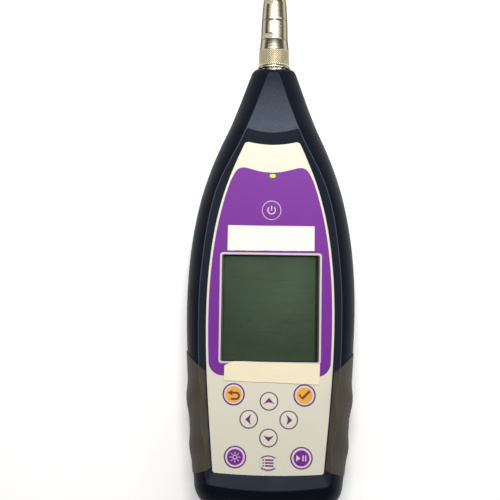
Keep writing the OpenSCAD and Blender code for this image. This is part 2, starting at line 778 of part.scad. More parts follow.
module protection_grid() {
    color(METAL_C) on_axis(CONE_END + 9.2) difference() {
        cylinder(r = grid_r, h = 5.6);
        translate([0, 0, -1]) cylinder(r = 6, h = 5.8);
        for (i = [0:7]) rotate(i * FULL / 8) block([2.2, 0.9, 2], [3.7, 0, 4]);
        for (i = [0:7]) rotate(i * FULL / 8) block([3, 1, 1.2], [6.6, 0, 3.2]);
        cylinder(r = 0.8, h = 8);
    }
}

front_shell();
rear_shell();
left_grip();
right_grip();
battery_door();
tripod_insert();
housing_screws();
panel_overlay();
key_circuit();
key_domes();
key_power();
key_back();
key_ok();
key_up();
key_down();
key_left();
key_right();
key_backlight();
key_run();
key_menu();
display_window();
lcd_panel();
lcd_backlight();
led_lens();
status_led();
paper_label();
masking_tape();
main_board();
board_components();
board_screws();
battery_cells();
battery_springs();
battery_plates();
output_jack();
usb_socket();
power_socket();
preamp_socket();
socket_insulator();
socket_contacts();
knurled_collar();
preamp_plug();
plug_insulator();
plug_pins();
preamp_tube();
preamp_cone();
preamp_board();
mic_cartridge();
mic_insulator();
mic_backplate();
mic_diaphragm();
protection_grid();
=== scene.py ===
"""Looks of the hand-held sound level meter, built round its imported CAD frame.

Shapes are worked out in millimetres, in the CAD's own frame, and turned into metres as each mesh is made.
"""

import json
import math

import bmesh
import bpy
import numpy as np
from mathutils import Matrix, Vector
from mathutils.bvhtree import BVHTree
from mathutils.interpolate import poly_3d_calc


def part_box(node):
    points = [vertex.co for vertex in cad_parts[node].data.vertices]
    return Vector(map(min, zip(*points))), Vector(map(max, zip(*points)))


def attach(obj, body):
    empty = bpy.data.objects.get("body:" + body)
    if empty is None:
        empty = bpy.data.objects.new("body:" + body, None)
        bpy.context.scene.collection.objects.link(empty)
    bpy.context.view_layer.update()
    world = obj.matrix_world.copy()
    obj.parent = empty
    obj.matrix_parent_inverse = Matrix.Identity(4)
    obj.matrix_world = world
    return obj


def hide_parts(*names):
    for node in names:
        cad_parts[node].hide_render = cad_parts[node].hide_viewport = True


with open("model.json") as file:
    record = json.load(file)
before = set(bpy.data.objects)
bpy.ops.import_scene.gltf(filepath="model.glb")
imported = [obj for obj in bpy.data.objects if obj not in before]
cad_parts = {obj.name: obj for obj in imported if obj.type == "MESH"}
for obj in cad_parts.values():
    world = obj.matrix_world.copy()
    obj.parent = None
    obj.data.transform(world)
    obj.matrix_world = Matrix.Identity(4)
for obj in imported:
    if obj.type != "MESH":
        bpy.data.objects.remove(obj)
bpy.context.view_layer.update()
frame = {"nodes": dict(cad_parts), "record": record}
MM = 0.001
# points closer than this, in millimetres, are joined
JOIN = 1e-4
rng = np.random.default_rng(7)


# ---- sizes taken from the frame ----

def box(node):
    """Lowest and highest corners of a CAD node, in millimetres."""
    lo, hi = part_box(node)
    return np.array(lo) / MM, np.array(hi) / MM


def middle(node):
    lo, hi = box(node)
    return (lo + hi) / 2


def half_width(node):
    lo, hi = box(node)
    return (hi[0] - lo[0]) / 2


FACE_Z = box("panel_overlay")[1][2]
FLOOR_Z = box("key_circuit")[0][2]
KEY_TOP = box("key_power")[1][2]
AXIS_Z = middle("preamp_tube")[2]
PARTING_Z = 17.0
RIDGE_Z = 36.0

# housing outlines: each knot is distance along the meter, half width, slope
# the girth stays just inside the CAD's
GIRTH = [[115.4, 12.1, -0.375], [80.5, 25.8, -0.48], [45, 38.6, -0.235],
         [-11, 44.59, 0], [-60, 42.4, 0.055], [-102, 39.1, 0.12]]
RIDGE = [[115, 2.6, -0.34], [80, 15.6, -0.45], [50, 29.6, -0.3],
         [10, 36.3, -0.1], [-18, 37.3, 0], [-100, 32.2, 0.09]]
PANEL = [[77.2, 14.1, -0.48], [50, 25.1, -0.31], [10, 32.45, -0.09],
         [-17.5, 33.52, 0], [-94.8, 28.85, 0.08]]
NECK_Y, NECK_TOP, END_Y, CORNER_R = 118.4, 115.0, -115.0, 13.0
LOW_Y = END_Y + CORNER_R
WEDGE_Y, PANEL_TOP, PANEL_END, RIDGE_END, BACK_TOP, BACK_END = 84.2, 77.2, -94.8, -98.6, 80.0, 113.0
NECK_FRONT_Z, NECK_BACK_Z, BACK_INSET, LAND = 29.0, 7.5, 7.5, 0.6
FLANK_TURN, WEDGE_BOW = 65.0, 0.4
# how far the rounding of a crease reaches along the wedge
EASE = 0.28
NECK_X, NECK_R, NECK_TURN = 8.27, 3.9, 69.4
# stations round one half of every ring
END_N, WEDGE_N, SIDE_N, TURN_N, BASE_N = 14, 34, 110, 14, 18


# ---- curves ----

def curve(knots, y):
    """Smooth curve through knots, by their values and slopes."""
    k = np.array(knots, float)
    y = np.asarray(y, float)
    i = np.clip(np.searchsorted(-k[:, 0], -y) - 1, 0, len(k) - 2)
    a, b = k[i], k[i + 1]
    d = b[..., 0] - a[..., 0]
    t = (y - a[..., 0]) / d
    u = 1 - t
    return (u * u * (1 + 2 * t) * a[..., 1] + t * u * u * d * a[..., 2]
            + t * t * (3 - 2 * t) * b[..., 1] - t * t * u * d * b[..., 2])


def girth(y):
    return curve(GIRTH, y)


def ridge(y):
    return curve(RIDGE, y)


def panel(y):
    return curve(PANEL, y)


def mix(a, b, t):
    return a + (b - a) * t


def ridge_height(y):
    """Height of the ridge and of the wedge that falls from it to the neck."""
    u = np.clip((y - WEDGE_Y) / (NECK_TOP - WEDGE_Y), 0, 1)
    return mix(RIDGE_Z, NECK_FRONT_Z, u * (1 - WEDGE_BOW + WEDGE_BOW * u))


def hump(y, at, high, wide):
    return np.where(abs(y - at) < wide, high * (1 + np.cos(np.pi * (y - at) / wide)) / 2, 0)


def finger(y):
    """How far the rubber stands out along the side, for the fingers."""
    return hump(y, -58, 1.2, 11) + hump(y, -83, 0.8, 9)


def crest(y, g):
    """How far the rubber's ridge wanders in and out beside the fingers."""
    return 0 if g <= 0 else hump(y, -70, 0.5, 8) - hump(y, -56, 1.3, 9) - hump(y, -83, 1.3, 9)


def xy(x, y):
    x, y = np.broadcast_arrays(np.asarray(x, float), np.asarray(y, float))
    return np.stack([x, y], -1)


def bezier(a, b, c, t):
    """Points of the quadratic curve from a to c, pulled towards b."""
    t = np.asarray(t, float)[..., None]
    return (1 - t) ** 2 * a + 2 * t * (1 - t) * b + t * t * c


def spline(points, steps):
    """Smooth open line through the points, with this many steps between each two."""
    p = np.array(points, float)
    p = np.vstack([2 * p[0] - p[1], p, 2 * p[-1] - p[-2]])
    out = []
    for i in range(1, len(p) - 2):
        a, b, c, d = p[i - 1:i + 3]
        for t in np.arange(steps) / steps:
            out.append(0.5 * (2 * b + (c - a) * t + (2 * a - 5 * b + 4 * c - d) * t * t
                              + (3 * b - a - 3 * c + d) * t ** 3))
    return np.array(out + [p[-2]])


# ---- rings of the housing ----

def turn(x, y, r):
    """A quarter turn of radius r round x, y, from the side to the base."""
    a = np.linspace(0, np.pi / 2, TURN_N + 1)[1:]
    return xy(x + r * np.cos(a), y - r * np.sin(a))


def base(x, y, bow):
    """The base edge from x to the middle, bowed out."""
    s = 1 - np.arange(1, BASE_N + 1) / BASE_N
    return xy(x * s, y - bow * (1 - s * s))


def side_y(top, low):
    """Stations down the side, closer together near the top corner."""
    return mix(top, low, (np.arange(1, SIDE_N + 1) / SIDE_N) ** 1.4)


def half_ring(side, top_x, top_y, low_y, r, bow):
    """One half of a ring with the given side, from the microphone end to the base."""
    y1 = mix(top_y, WEDGE_Y, np.arange(1, WEDGE_N + 1) / WEDGE_N)
    y2 = side_y(WEDGE_Y, low_y)
    return np.vstack([xy(top_x * np.arange(END_N) / END_N, top_y), xy(side(y1), y1), xy(side(y2), y2),
                      turn(side(low_y) - r, low_y, r), base(side(low_y) - r, low_y - r, bow)])


def gathered(side, top_x, top_y, dip, low_y, r, bow, corner):
    """A half ring whose part above the top edge lies on a bowed line across, with its corner rounded."""
    n = END_N + WEDGE_N
    s = np.linspace(0, 1, n) ** 0.8
    y = side_y(top_y, low_y)
    half = np.vstack([xy(top_x * s, top_y - dip * (1 - s * s)), xy(side(y), y),
                      turn(side(low_y) - r, low_y, r), base(side(low_y) - r, low_y - r, bow)])
    run = np.concatenate([[0], np.cumsum(np.linalg.norm(np.diff(half, axis=0), axis=1))])
    run -= run[n - 1]
    ends = [np.array([np.interp(d, run, half[:, k]) for k in (0, 1)]) for d in (-corner, corner)]
    near = abs(run) < corner
    half[near] = bezier(ends[0], half[n - 1].copy(), ends[1], (run[near] + corner) / (2 * corner))
    return half


def girth_half(g):
    """The widest ring, with the square end of the neck rounded at its corners."""
    flat_n = END_N - 9
    a = np.radians(np.linspace(0, NECK_TURN, 9))
    y1 = mix(NECK_Y - NECK_R * (1 - math.cos(a[-1])), WEDGE_Y, np.arange(1, WEDGE_N + 1) / WEDGE_N)
    y2 = side_y(WEDGE_Y, LOW_Y)
    stand = finger(y2) if g > 0 else 0
    x0 = girth(LOW_Y) - CORNER_R
    return np.vstack([xy(NECK_X * np.arange(flat_n) / flat_n, NECK_Y + g),
                      xy(NECK_X + (NECK_R + g) * np.sin(a), NECK_Y - NECK_R + (NECK_R + g) * np.cos(a)),
                      xy(girth(y1) + g, y1), xy(girth(y2) + g + stand, y2),
                      turn(x0, LOW_Y, CORNER_R + g), base(x0, END_Y - g, 0.5)])


def lift(half, z):
    z = np.broadcast_to(np.asarray(z, float), half.shape[:1])
    return np.column_stack([half[:, :2], z])


def whole(half):
    """The half ring and its mirror image, as one loop."""
    back = half[-2:0:-1].copy()
    back[:, 0] *= -1
    return np.vstack([half, back])


def bend(flat, edge, a, full):
    """A ring at angle a on the arc that leaves the girth upright and meets an edge ring at the full angle."""
    a, full = math.radians(a), math.radians(full)
    s, c = (math.cos(a) - math.cos(full)) / (1 - math.cos(full)), math.sin(a) / math.sin(full)
    return np.column_stack([mix(edge[:, :2], flat[:, :2], s), mix(PARTING_Z, edge[:, 2], c)])


def eased(before, ring, after, reach_before, reach_after, steps=5):
    """Rings that round off the crease at a ring, reaching this far along each side of it."""
    def towards(other, reach):
        gap = other - ring
        far = np.linalg.norm(gap, axis=1, keepdims=True)
        return ring + gap * np.minimum(reach / np.maximum(far, 1e-9), 0.45)
    a, c = towards(before, reach_before), towards(after, reach_after)
    return [bezier(a, ring, c, np.full(len(ring), t)) for t in np.linspace(0, 1, steps)]


def key_rings(g):
    """The rings that the skin is hung on; g grows or shrinks it."""
    ridge_xy = half_ring(lambda y: ridge(y) + crest(y, g), 2.6, NECK_TOP, RIDGE_END, 3, 2.6)
    back_xy = half_ring(lambda y: girth(y) - BACK_INSET, 5, BACK_END, LOW_Y, 6, 0.5)
    rise = np.clip((back_xy[:, 1] - BACK_TOP) / (BACK_END - BACK_TOP), 0, 1)
    halves = {
        "girth": lift(girth_half(g), PARTING_Z),
        "over": lift(ridge_xy, ridge_height(ridge_xy[:, 1]) + g),
        "under": lift(back_xy, mix(0, NECK_BACK_Z, rise) - min(g, 0)),
        "flat": lift(gathered(lambda y: girth(y) - BACK_INSET - LAND, girth(BACK_TOP) - BACK_INSET - LAND,
                              BACK_TOP, 0, LOW_Y, 5.4, 0.5, 1), -min(g, 0)),
        "rim": lift(gathered(lambda y: ridge(y) + crest(y, g) - LAND, ridge(WEDGE_Y) - LAND,
                             WEDGE_Y - 0.4, 2.3, RIDGE_END, 2.4, 2.6, 0.8), RIDGE_Z + g),
        "lip": lift(gathered(lambda y: panel(y) + g / 4, panel(PANEL_TOP) - 0.6, PANEL_TOP, 1.7,
                             PANEL_END + 1, 1.6, 1, 1.6), FACE_Z - 0.2 + g),
    }
    return {name: whole(half) for name, half in halves.items()}


def front_rings(g):
    """Girth, and the rings above it: flank, ridge, wedge and the step down to the panel floor."""
    r = key_rings(g)
    floor = lift(r["lip"], FLOOR_Z + g)
    gap = r["rim"] - r["over"]
    near = np.minimum(EASE / np.linalg.norm(gap, axis=1, keepdims=True), 0.45)
    wedge = [lift(r["over"] + gap * mix(near, 1 - near, k / 10), 0) for k in range(1, 10)]
    for ring in wedge:
        ring[:, 2] = ridge_height(ring[:, 1]) + g
    steps = [bend(r["girth"], r["over"], FLANK_TURN * k / 14, FLANK_TURN) for k in range(1, 14)]
    return (r["girth"], steps + eased(steps[-1], r["over"], r["rim"], 0.4, EASE) + wedge
            + eased(r["over"], r["rim"], r["lip"], EASE, 0.35)
            + eased(r["rim"], r["lip"], floor, 0.3, 0.15, 4) + [floor])


def rear_rings(g):
    """Girth, and the rings below it, down to the flat back."""
    r = key_rings(g)
    steps = [bend(r["girth"], r["under"], 6 * k, 90) for k in range(1, 15)]
    return r["girth"], steps + eased(steps[-1], r["under"], r["flat"], 0.8, EASE) + [r["flat"]]


def inset(ring, d, z):
    """The ring drawn in by d, square to its own line."""
    p = ring[:, :2]
    t = np.roll(p, -1, 0) - np.roll(p, 1, 0)
    t /= np.maximum(np.linalg.norm(t, axis=1, keepdims=True), 1e-9)
    x, y = p[:, 0], p[:, 1]
    area = np.sum(x * np.roll(y, -1) - np.roll(x, -1) * y)
    return lift(p + d * xy(t[:, 1], -t[:, 0]) * (-1 if area > 0 else 1), z)


# ---- meshes ----

def loft(rings, closed=False):
    """A closed solid through the rings, either capped at both ends or joined up into a tube."""
    n, m = len(rings[0]), len(rings)
    i = np.arange(n)
    faces = []
    for j in range(m if closed else m - 1):
        a, b = j * n, (j + 1) % m * n
        faces += np.column_stack([a + i, a + (i + 1) % n, b + (i + 1) % n, b + i]).tolist()
    if not closed:
        faces.append(i[::-1].tolist())
        faces.append(((m - 1) * n + i).tolist())
    return np.vstack(rings), faces


def settled(name, mesh, tidy, rise=0.0):
    """An object for a mesh in millimetres: raised, doubled points joined, faces turned out, put in metres."""
    work = bmesh.new()
    work.from_mesh(mesh)
    bmesh.ops.translate(work, vec=(0, 0, rise), verts=work.verts)
    if tidy:
        bmesh.ops.remove_doubles(work, verts=work.verts, dist=tidy)
    bmesh.ops.recalc_face_normals(work, faces=work.faces)
    bmesh.ops.scale(work, vec=(MM, MM, MM), verts=work.verts)
    work.to_mesh(mesh)
    work.free()
    return linked(bpy.data.objects.new(name, mesh))


def linked(obj):
    bpy.context.scene.collection.objects.link(obj)
    return obj


def raw(name, verts, faces, tidy=0.0):
    """A mesh object from millimetres."""
    mesh = bpy.data.meshes.new(name)
    mesh.from_pydata(np.asarray(verts, float).tolist(), [], faces)
    return settled(name, mesh, tidy)


def final_mesh(obj):
    """Replaces the object's mesh with what its modifiers make of it."""
    graph = bpy.context.evaluated_depsgraph_get()
    made = bpy.data.meshes.new_from_object(obj.evaluated_get(graph))
    old = obj.data
    obj.modifiers.clear()
    obj.data = made
    if old.users == 0:
        bpy.data.meshes.remove(old)


def carve(obj, tools, how="DIFFERENCE"):
    """Cuts the object with solid tools, which are used up, and returns its mesh as it was before."""
    before = obj.data.copy()
    for tool in tools:
        mod = obj.modifiers.new("carve", "BOOLEAN")
        mod.operation = how
        mod.solver = "EXACT"
        mod.object = tool
    final_mesh(obj)
    for tool in tools:
        bpy.data.objects.remove(tool)
    return before


def match_normals(mesh, source):
    """Shades the faces that still lie on the uncut source as the source is, so that cuts leave no creases."""
    source.shade_smooth()
    source.set_sharp_from_angle(angle=math.radians(34))
    shaded = np.array([c.vector for c in source.corner_normals])
    points = [v.co for v in source.vertices]
    tree = BVHTree.FromPolygons(points, [p.vertices[:] for p in source.polygons])
    normals = np.zeros((len(mesh.loops), 3))
    for face in mesh.polygons:
        _, normal, index, far = tree.find_nearest(face.center)
        patch = source.polygons[index]
        if far > 0.03 * MM or normal.dot(face.normal) < 0.9 or len(patch.vertices) > 4:
            continue
        corners = [points[v] for v in patch.vertices]
        for i in face.loop_indices:
            share = poly_3d_calc(corners, mesh.vertices[mesh.loops[i].vertex_index].co)
            normals[i] = np.array(share) @ shaded[list(patch.loop_indices)]
    length = np.linalg.norm(normals, axis=1, keepdims=True)
    mesh.normals_split_custom_set((normals / np.maximum(length, 1e-9)).tolist())


def piece(obj, body, materials, nodes=(), sharp=None, like=None):
    """Finishes a piece: shading, materials, the body that it rides on and the nodes that it stands for."""
    mesh = obj.data
    mesh.shade_smooth()
    mesh.set_sharp_from_angle(angle=math.radians(sharp or obj.get("sharp", 34)))
    if like:
        match_normals(mesh, like)
    for m in materials:
        mesh.materials.append(m)
    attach(obj, body)
    if nodes:
        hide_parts(*nodes)
    return obj


def slab(x, y, z):
    """A box from ranges of x, y and z."""
    v = [(a, b, c) for c in z for b in y for a in x]
    f = [(0, 2, 3, 1), (4, 5, 7, 6), (0, 1, 5, 4), (2, 6, 7, 3), (0, 4, 6, 2), (1, 3, 7, 5)]
    return raw("tool", v, [list(q) for q in f])


def prism(loop, z0, z1, name="tool"):
    """A straight prism on one closed outline."""
    return raw(name, *loft([lift(np.asarray(loop, float), z0), lift(np.asarray(loop, float), z1)]))


def circle(r, at=(0, 0), n=64):
    a = np.arange(n) * 2 * np.pi / n
    return xy(at[0] + r * np.cos(a), at[1] + r * np.sin(a))


def soften(profile, r, closed=False):
    """Rounds every corner of a profile by about r."""
    p = np.array(profile, float)
    out = []
    n = len(p)
    for i in range(n):
        if not closed and i in (0, n - 1):
            out.append(p[i])
            continue
        a, b, c = p[i - 1], p[i], p[(i + 1) % n]
        u, v = a - b, c - b
        lu, lv = np.linalg.norm(u), np.linalg.norm(v)
        d = min(r, 0.4 * lu, 0.4 * lv)
        out += list(bezier(b + u / lu * d, b, b + v / lv * d, np.linspace(0, 1, 4)))
    return np.array(out)


# ways to place a turned shape: round the microphone's axis, round a socket of the foot, or upright

def on_axis(x, y, t):
    return np.stack([x, t, AXIS_Z + y], -1)


def on_socket(at):
    return lambda x, y, t: np.stack([at[0] + x, t, at[2] + y], -1)


def upright(at, z0):
    return lambda x, y, t: np.stack([at[0] + x, at[1] + y, z0 + t], -1)


def lathe(name, profile, place, n=96, closed=True, radius=None):
    """A turned solid. The profile holds radius and distance along the axis; radius() may reshape it."""
    a = np.arange(n) * 2 * np.pi / n
    rows = []
    for r, t in np.array(profile, float):
        rr = np.full(n, r) if radius is None else radius(r, t, a)
        rows.append(place(rr * np.cos(a), rr * np.sin(a), np.full(n, t)))
    return raw(name, *loft(rows, closed), JOIN)


def plug(r, y0, y1, place, n=64):
    """A solid cylinder to cut with."""
    return lathe("tool", [(0.01, y0), (r, y0), (r, y1), (0.01, y1)], place, n, False)


def plate(name, loops, z0, z1, bevel=0.0):
    """A flat plate with holes: the first loop is the outline and the others are holes or islands."""
    data = bpy.data.curves.new(name, "CURVE")
    data.dimensions = "2D"
    data.fill_mode = "BOTH"
    data.extrude = (z1 - z0) / 2 - bevel
    data.bevel_depth = bevel
    data.bevel_resolution = 1
    data.offset = -bevel
    for loop in loops:
        s = data.splines.new("POLY")
        s.points.add(len(loop) - 1)
        s.points.foreach_set("co", np.column_stack([loop, np.zeros(len(loop)), np.ones(len(loop))]).ravel())
        s.use_cyclic_u = True
    holder = linked(bpy.data.objects.new(name, data))
    graph = bpy.context.evaluated_depsgraph_get()
    mesh = bpy.data.meshes.new_from_object(holder.evaluated_get(graph))
    bpy.data.objects.remove(holder)
    bpy.data.curves.remove(data)
    obj = settled(name, mesh, JOIN, (z0 + z1) / 2)
    obj["sharp"] = 12
    return obj


# ---- materials ----

class Nodes:
    """Shorthand for building one material's node tree."""

    def __init__(self, name):
        self.mat = bpy.data.materials.new(name)
        self.mat.use_nodes = True
        self.tree = self.mat.node_tree
        self.shader = next(n for n in self.tree.nodes if n.type == "BSDF_PRINCIPLED")
        self.where = self.tree.nodes.new("ShaderNodeTexCoord").outputs["Object"]

    def add(self, kind, links=(), **values):
        n = self.tree.nodes.new(kind)
        for key, v in values.items():
            if hasattr(n, key):
                setattr(n, key, v)
            else:
                n.inputs[key.replace("_", " ")].default_value = v
        for key, out in links:
            self.tree.links.new(out, n.inputs[key])
        return n

    def stretched(self, scale):
        return self.add("ShaderNodeMapping", [("Vector", self.where)], Scale=scale).outputs[0]

    def noise(self, scale, detail=3.0, rough=0.5, vector=None):
        return self.add("ShaderNodeTexNoise", [("Vector", vector or self.where)],
                        Scale=scale, Detail=detail, Roughness=rough).outputs["Fac"]

    def spots(self, scale, vector=None):
        cells = self.add("ShaderNodeTexVoronoi", [("Vector", vector or self.where)], Scale=scale)
        return cells.outputs["Distance"]

    def remap(self, value, a, b, c=0, d=1):
        """What runs from a to b, clamped and stretched to run from c to d."""
        return self.add("ShaderNodeMapRange", [("Value", value)],
                        From_Min=a, From_Max=b, To_Min=c, To_Max=d).outputs[0]

    def vary(self, noise, low, high):
        """The middle of a noise, stretched to run from low to high."""
        return self.remap(noise, 0.3, 0.7, low, high)

    def blend(self, fac, a, b):
        """Colour mix; a and b are colours or outputs."""
        n = self.tree.nodes.new("ShaderNodeMix")
        n.data_type = "RGBA"
        self.tree.links.new(fac, n.inputs[0])
        for at, v in ((6, a), (7, b)):
            if isinstance(v, (tuple, list)):
                n.inputs[at].default_value = (*v[:3], 1)
            else:
                self.tree.links.new(v, n.inputs[at])
        return n.outputs[2]

    def normal(self):
        return self.tree.nodes.new("ShaderNodeNewGeometry").outputs["Normal"]

    def dot(self, a, b):
        return self.add("ShaderNodeVectorMath", [(0, a), (1, b)], operation="DOT_PRODUCT").outputs["Value"]

    def times(self, a, b):
        return self.add("ShaderNodeMath", [(0, a), (1, b)], operation="MULTIPLY").outputs[0]

    def part(self, vector, axis):
        return self.add("ShaderNodeSeparateXYZ", [("Vector", vector)]).outputs[axis]

    def edges(self, reach):
        """Rises from 0 to 1 towards an edge, within this many millimetres of it."""
        rounded = self.add("ShaderNodeBevel", Radius=reach * MM, samples=4).outputs[0]
        return self.remap(self.dot(self.normal(), rounded), 0.99, 0.9)

    def facing_up(self, low, high):
        """Rises from 0 to 1 as the surface turns to face upwards."""
        return self.remap(self.part(self.normal(), "Z"), low, high)

    def facing_in(self):
        """Rises from 0 to 1 as an upright surface turns to face the middle of the object."""
        return self.remap(self.dot(self.normal(), self.stretched((1, 1, 0))), -0.004, -0.018)

    def bump(self, height, strength, distance):
        links = [("Height", height)]
        return self.add("ShaderNodeBump", links, Strength=strength, Distance=distance).outputs[0]

    def set(self, **values):
        for key, v in values.items():
            socket = self.shader.inputs[key.replace("_", " ")]
            if isinstance(v, bpy.types.NodeSocket):
                self.tree.links.new(v, socket)
            else:
                socket.default_value = v
        return self.mat


def rgb(r, g, b):
    """Linear colour from 0 to 255 values."""
    return tuple(c / 255 / 12.92 if c <= 10 else ((c / 255 + 0.055) / 1.055) ** 2.4 for c in (r, g, b))


def lit(colour, by):
    return tuple(min(c * by, 1) for c in colour)


def plastic(name, colour, rough, tone=0.12, tone_scale=40, grain_scale=2600, grain=0.25, grain_mm=0.03,
            wear_and_highlight=None, painted_highlight_up=None, recess=None, **more):
    """Moulded plastic or printed film: faint blotches and a fine grain, and where asked: painted light on
    walls that face the middle, a painted highlight on what faces up away from the foot, and rubbed edges that
    also carry a painted highlight.
    """
    t = Nodes(name)
    body = t.blend(t.noise(tone_scale, 4), lit(colour, 1 - tone), lit(colour, 1 + tone))
    # painted light: walls that face the middle of the object take the wall colour, which on the housing is
    # lighter
    if recess:
        body = t.blend(t.facing_in(), body, recess)
    # painted highlight: what faces up, away from the foot, turns lighter, with a fine mottle
    if painted_highlight_up:
        lit_end = t.remap(t.part(t.where, "Y"), -0.1, -0.05)
        highlight_mottle = t.blend(t.noise(900, 3), lit(painted_highlight_up, 0.7), lit(painted_highlight_up, 1.25))
        body = t.blend(t.times(t.facing_up(0.945, 0.994), lit_end), body, highlight_mottle)
    # edge wear and painted highlight: edges turn lighter in patches
    if wear_and_highlight:
        body = t.blend(t.times(t.edges(0.5), t.noise(300, 3)), body, wear_and_highlight)
    fine = t.noise(grain_scale, 2, 0.6)
    polish = t.vary(t.noise(tone_scale * 2, 3), rough - 0.05, rough + 0.06)
    return t.set(Base_Color=body, Roughness=polish, Normal=t.bump(fine, grain, grain_mm * MM), **more)


def metal(name, colour, rough, turned=None, tone=0.08, side_shade=None, **more):
    """Bare or plated metal with turning marks and tarnish; the side colour, where given, is painted shade on
    the sides that turn away from above.
    """
    t = Nodes(name)
    marks = t.noise(1.0, 3, 0.7, t.stretched(turned or (900, 900, 900)))
    tarnish = t.noise(130, 4)
    body = t.blend(tarnish, lit(colour, 1 - 2 * tone), lit(colour, 1 + tone))
    # painted shade: sides that turn away from above take the darker side colour
    if side_shade:
        body = t.blend(t.facing_up(0.25, 0.8), side_shade, body)
    polish = t.vary(marks, rough * 0.95, rough * 1.06)
    return t.set(Base_Color=body, Metallic=1.0, Roughness=polish,
                 Normal=t.bump(t.noise(60, 2), 0.2, 0.1 * MM), **more)


NAVY = rgb(20, 24, 36)
RUBBER = rgb(71, 66, 54)
PURPLE = rgb(120, 47, 151)
CREAM = rgb(226, 222, 204)
NICKEL = rgb(206, 198, 178)
# painted shade for the sides of the nickel parts
NICKEL_SIDE_SHADE = rgb(120, 108, 84)
NICKEL_TINT = (0.3, 0.28, 0.24, 1)

# On the housing: the edge colour is wear and a painted highlight, the colour on upward faces a painted
# highlight, and the colour on inward walls painted light.
housing_m = plastic("housing_plastic", NAVY, 0.38, tone=0.14, grain_scale=1500, grain=0.7, grain_mm=0.05,
                    wear_and_highlight=rgb(96, 106, 126), painted_highlight_up=rgb(74, 81, 94), recess=rgb(38, 43, 54),
                    Specular_IOR_Level=0.03, Specular_Tint=(0.8, 0.9, 1, 1))
# the rubber's lighter edge colour is wear and a painted highlight
rubber_m = plastic("grip_rubber", RUBBER, 0.72, tone=0.2, tone_scale=60, grain_scale=1900, grain=0.6,
                   grain_mm=0.06, wear_and_highlight=rgb(112, 104, 92))
film_m = plastic("panel_film", CREAM, 0.46, tone=0.03, tone_scale=25, grain_scale=3000, grain=0.2)
purple_m = plastic("purple_print", PURPLE, 0.44, tone=0.05, tone_scale=22, grain_scale=3000, grain=0.25,
                   Specular_IOR_Level=0.2)
key_film_m = plastic("key_film", lit(CREAM, 1.02), 0.44, tone=0.03, grain_scale=3000, grain=0.2)
ring_m = plastic("ring_print", rgb(100, 56, 110), 0.5, tone=0.08)
grey_ring_m = plastic("arrow_ring_print", rgb(122, 96, 124), 0.5, tone=0.08)
pink_m = plastic("pink_print", rgb(232, 205, 222), 0.45, tone=0.03)
orange_m = plastic("orange_print", rgb(240, 176, 62), 0.45, tone=0.05)
ink_m = plastic("warm_ink_print", rgb(126, 62, 52), 0.5, tone=0.08)
arrow_m = plastic("arrow_print", rgb(104, 50, 120), 0.5, tone=0.08)
bead_m = plastic("display_bead", rgb(214, 203, 206), 0.35, tone=0.04)
# painted shadow: a dark band inside the raised bead, round the window opening
shadow_band_m = plastic("window_shadow_paint", rgb(58, 44, 46), 0.4, tone=0.1)
nickel_m = metal("satin_nickel", NICKEL, 0.26, (60, 2400, 60), side_shade=NICKEL_SIDE_SHADE, Specular_Tint=NICKEL_TINT)
# lighter and darker copies of the nickel: a painted highlight on the knurl's tops and painted shade in its
# grooves
knurl_top_highlight_m = metal("knurl_tops_painted_highlight", rgb(250, 240, 212), 0.42, Specular_Tint=NICKEL_TINT)
knurl_groove_shade_m = metal("knurl_grooves_painted_shade", rgb(172, 158, 122), 0.45, Specular_Tint=NICKEL_TINT)
steel_m = metal("zinc_plated_steel", rgb(176, 177, 180), 0.32)
brass_m = metal("machined_brass", rgb(196, 160, 84), 0.28)
gold_m = metal("gold_plate", rgb(216, 178, 92), 0.24)
led_print_m = plastic("led_surround_print", rgb(74, 72, 40), 0.5)
# dark surround of the display: its frame, and painted shade at the edges of the recess
surround_and_shade_m = plastic("display_surround_and_shade", rgb(40, 34, 30), 0.4, tone=0.2)
black_m = plastic("black_plastic", rgb(26, 26, 28), 0.45, tone=0.15)
white_m = plastic("white_plastic", rgb(228, 224, 212), 0.5, tone=0.04)


def paper(name, colour, creped):
    """Paper with fibres; creped tape has wrinkles across its length."""
    t = Nodes(name)
    fibre = t.noise(1.0, 4, 0.6, t.stretched((2300, 260, 1) if creped else (700, 700, 700)))
    body = t.blend(t.noise(90, 4), lit(colour, 0.94), lit(colour, 1.04))
    specks = t.remap(t.noise(420, 2), 0.70, 0.78, 0, 0.5)
    body = t.blend(specks, body, lit(colour, 0.72))
    return t.set(Base_Color=body, Roughness=0.85, Normal=t.bump(fibre, 0.6 if creped else 0.35, 0.06 * MM))


label_m = paper("blank_label_paper", rgb(250, 247, 238), False)
tape_m = paper("creped_masking_tape", rgb(246, 236, 204), True)


def window_material():
    """Clear plastic with faint rubbing."""
    t = Nodes("clear_window")
    return t.set(Base_Color=(*rgb(238, 244, 240), 1), Roughness=t.vary(t.noise(300, 3), 0.03, 0.1),
                 Transmission_Weight=1.0, IOR=1.49)


def lcd_material():
    """Liquid crystal glass: grey green, with a painted pool of light off its middle, and fine rows."""
    t = Nodes("display_glass")
    mid_x, mid_y, _ = middle("lcd_panel") * MM
    # painted pool of light: lighter towards a point right of and above the middle of the glass
    spot = t.add("ShaderNodeVectorMath", [(0, t.where)], operation="DISTANCE")
    spot.inputs[1].default_value = (mid_x + 0.008, mid_y + 0.012, box("lcd_panel")[1][2] * MM)
    painted_light_pool = t.remap(spot.outputs["Value"], 0.0, 0.036, 1, 0)
    body = t.blend(t.remap(t.times(painted_light_pool, t.noise(55, 4)), 0, 0.62), rgb(80, 96, 74), rgb(106, 126, 100))
    rows = t.noise(1.0, 2, 0.5, t.stretched((80, 3800, 80)))
    return t.set(Base_Color=body, Roughness=t.vary(rows, 0.25, 0.4), Normal=t.bump(rows, 0.05, 0.02 * MM))


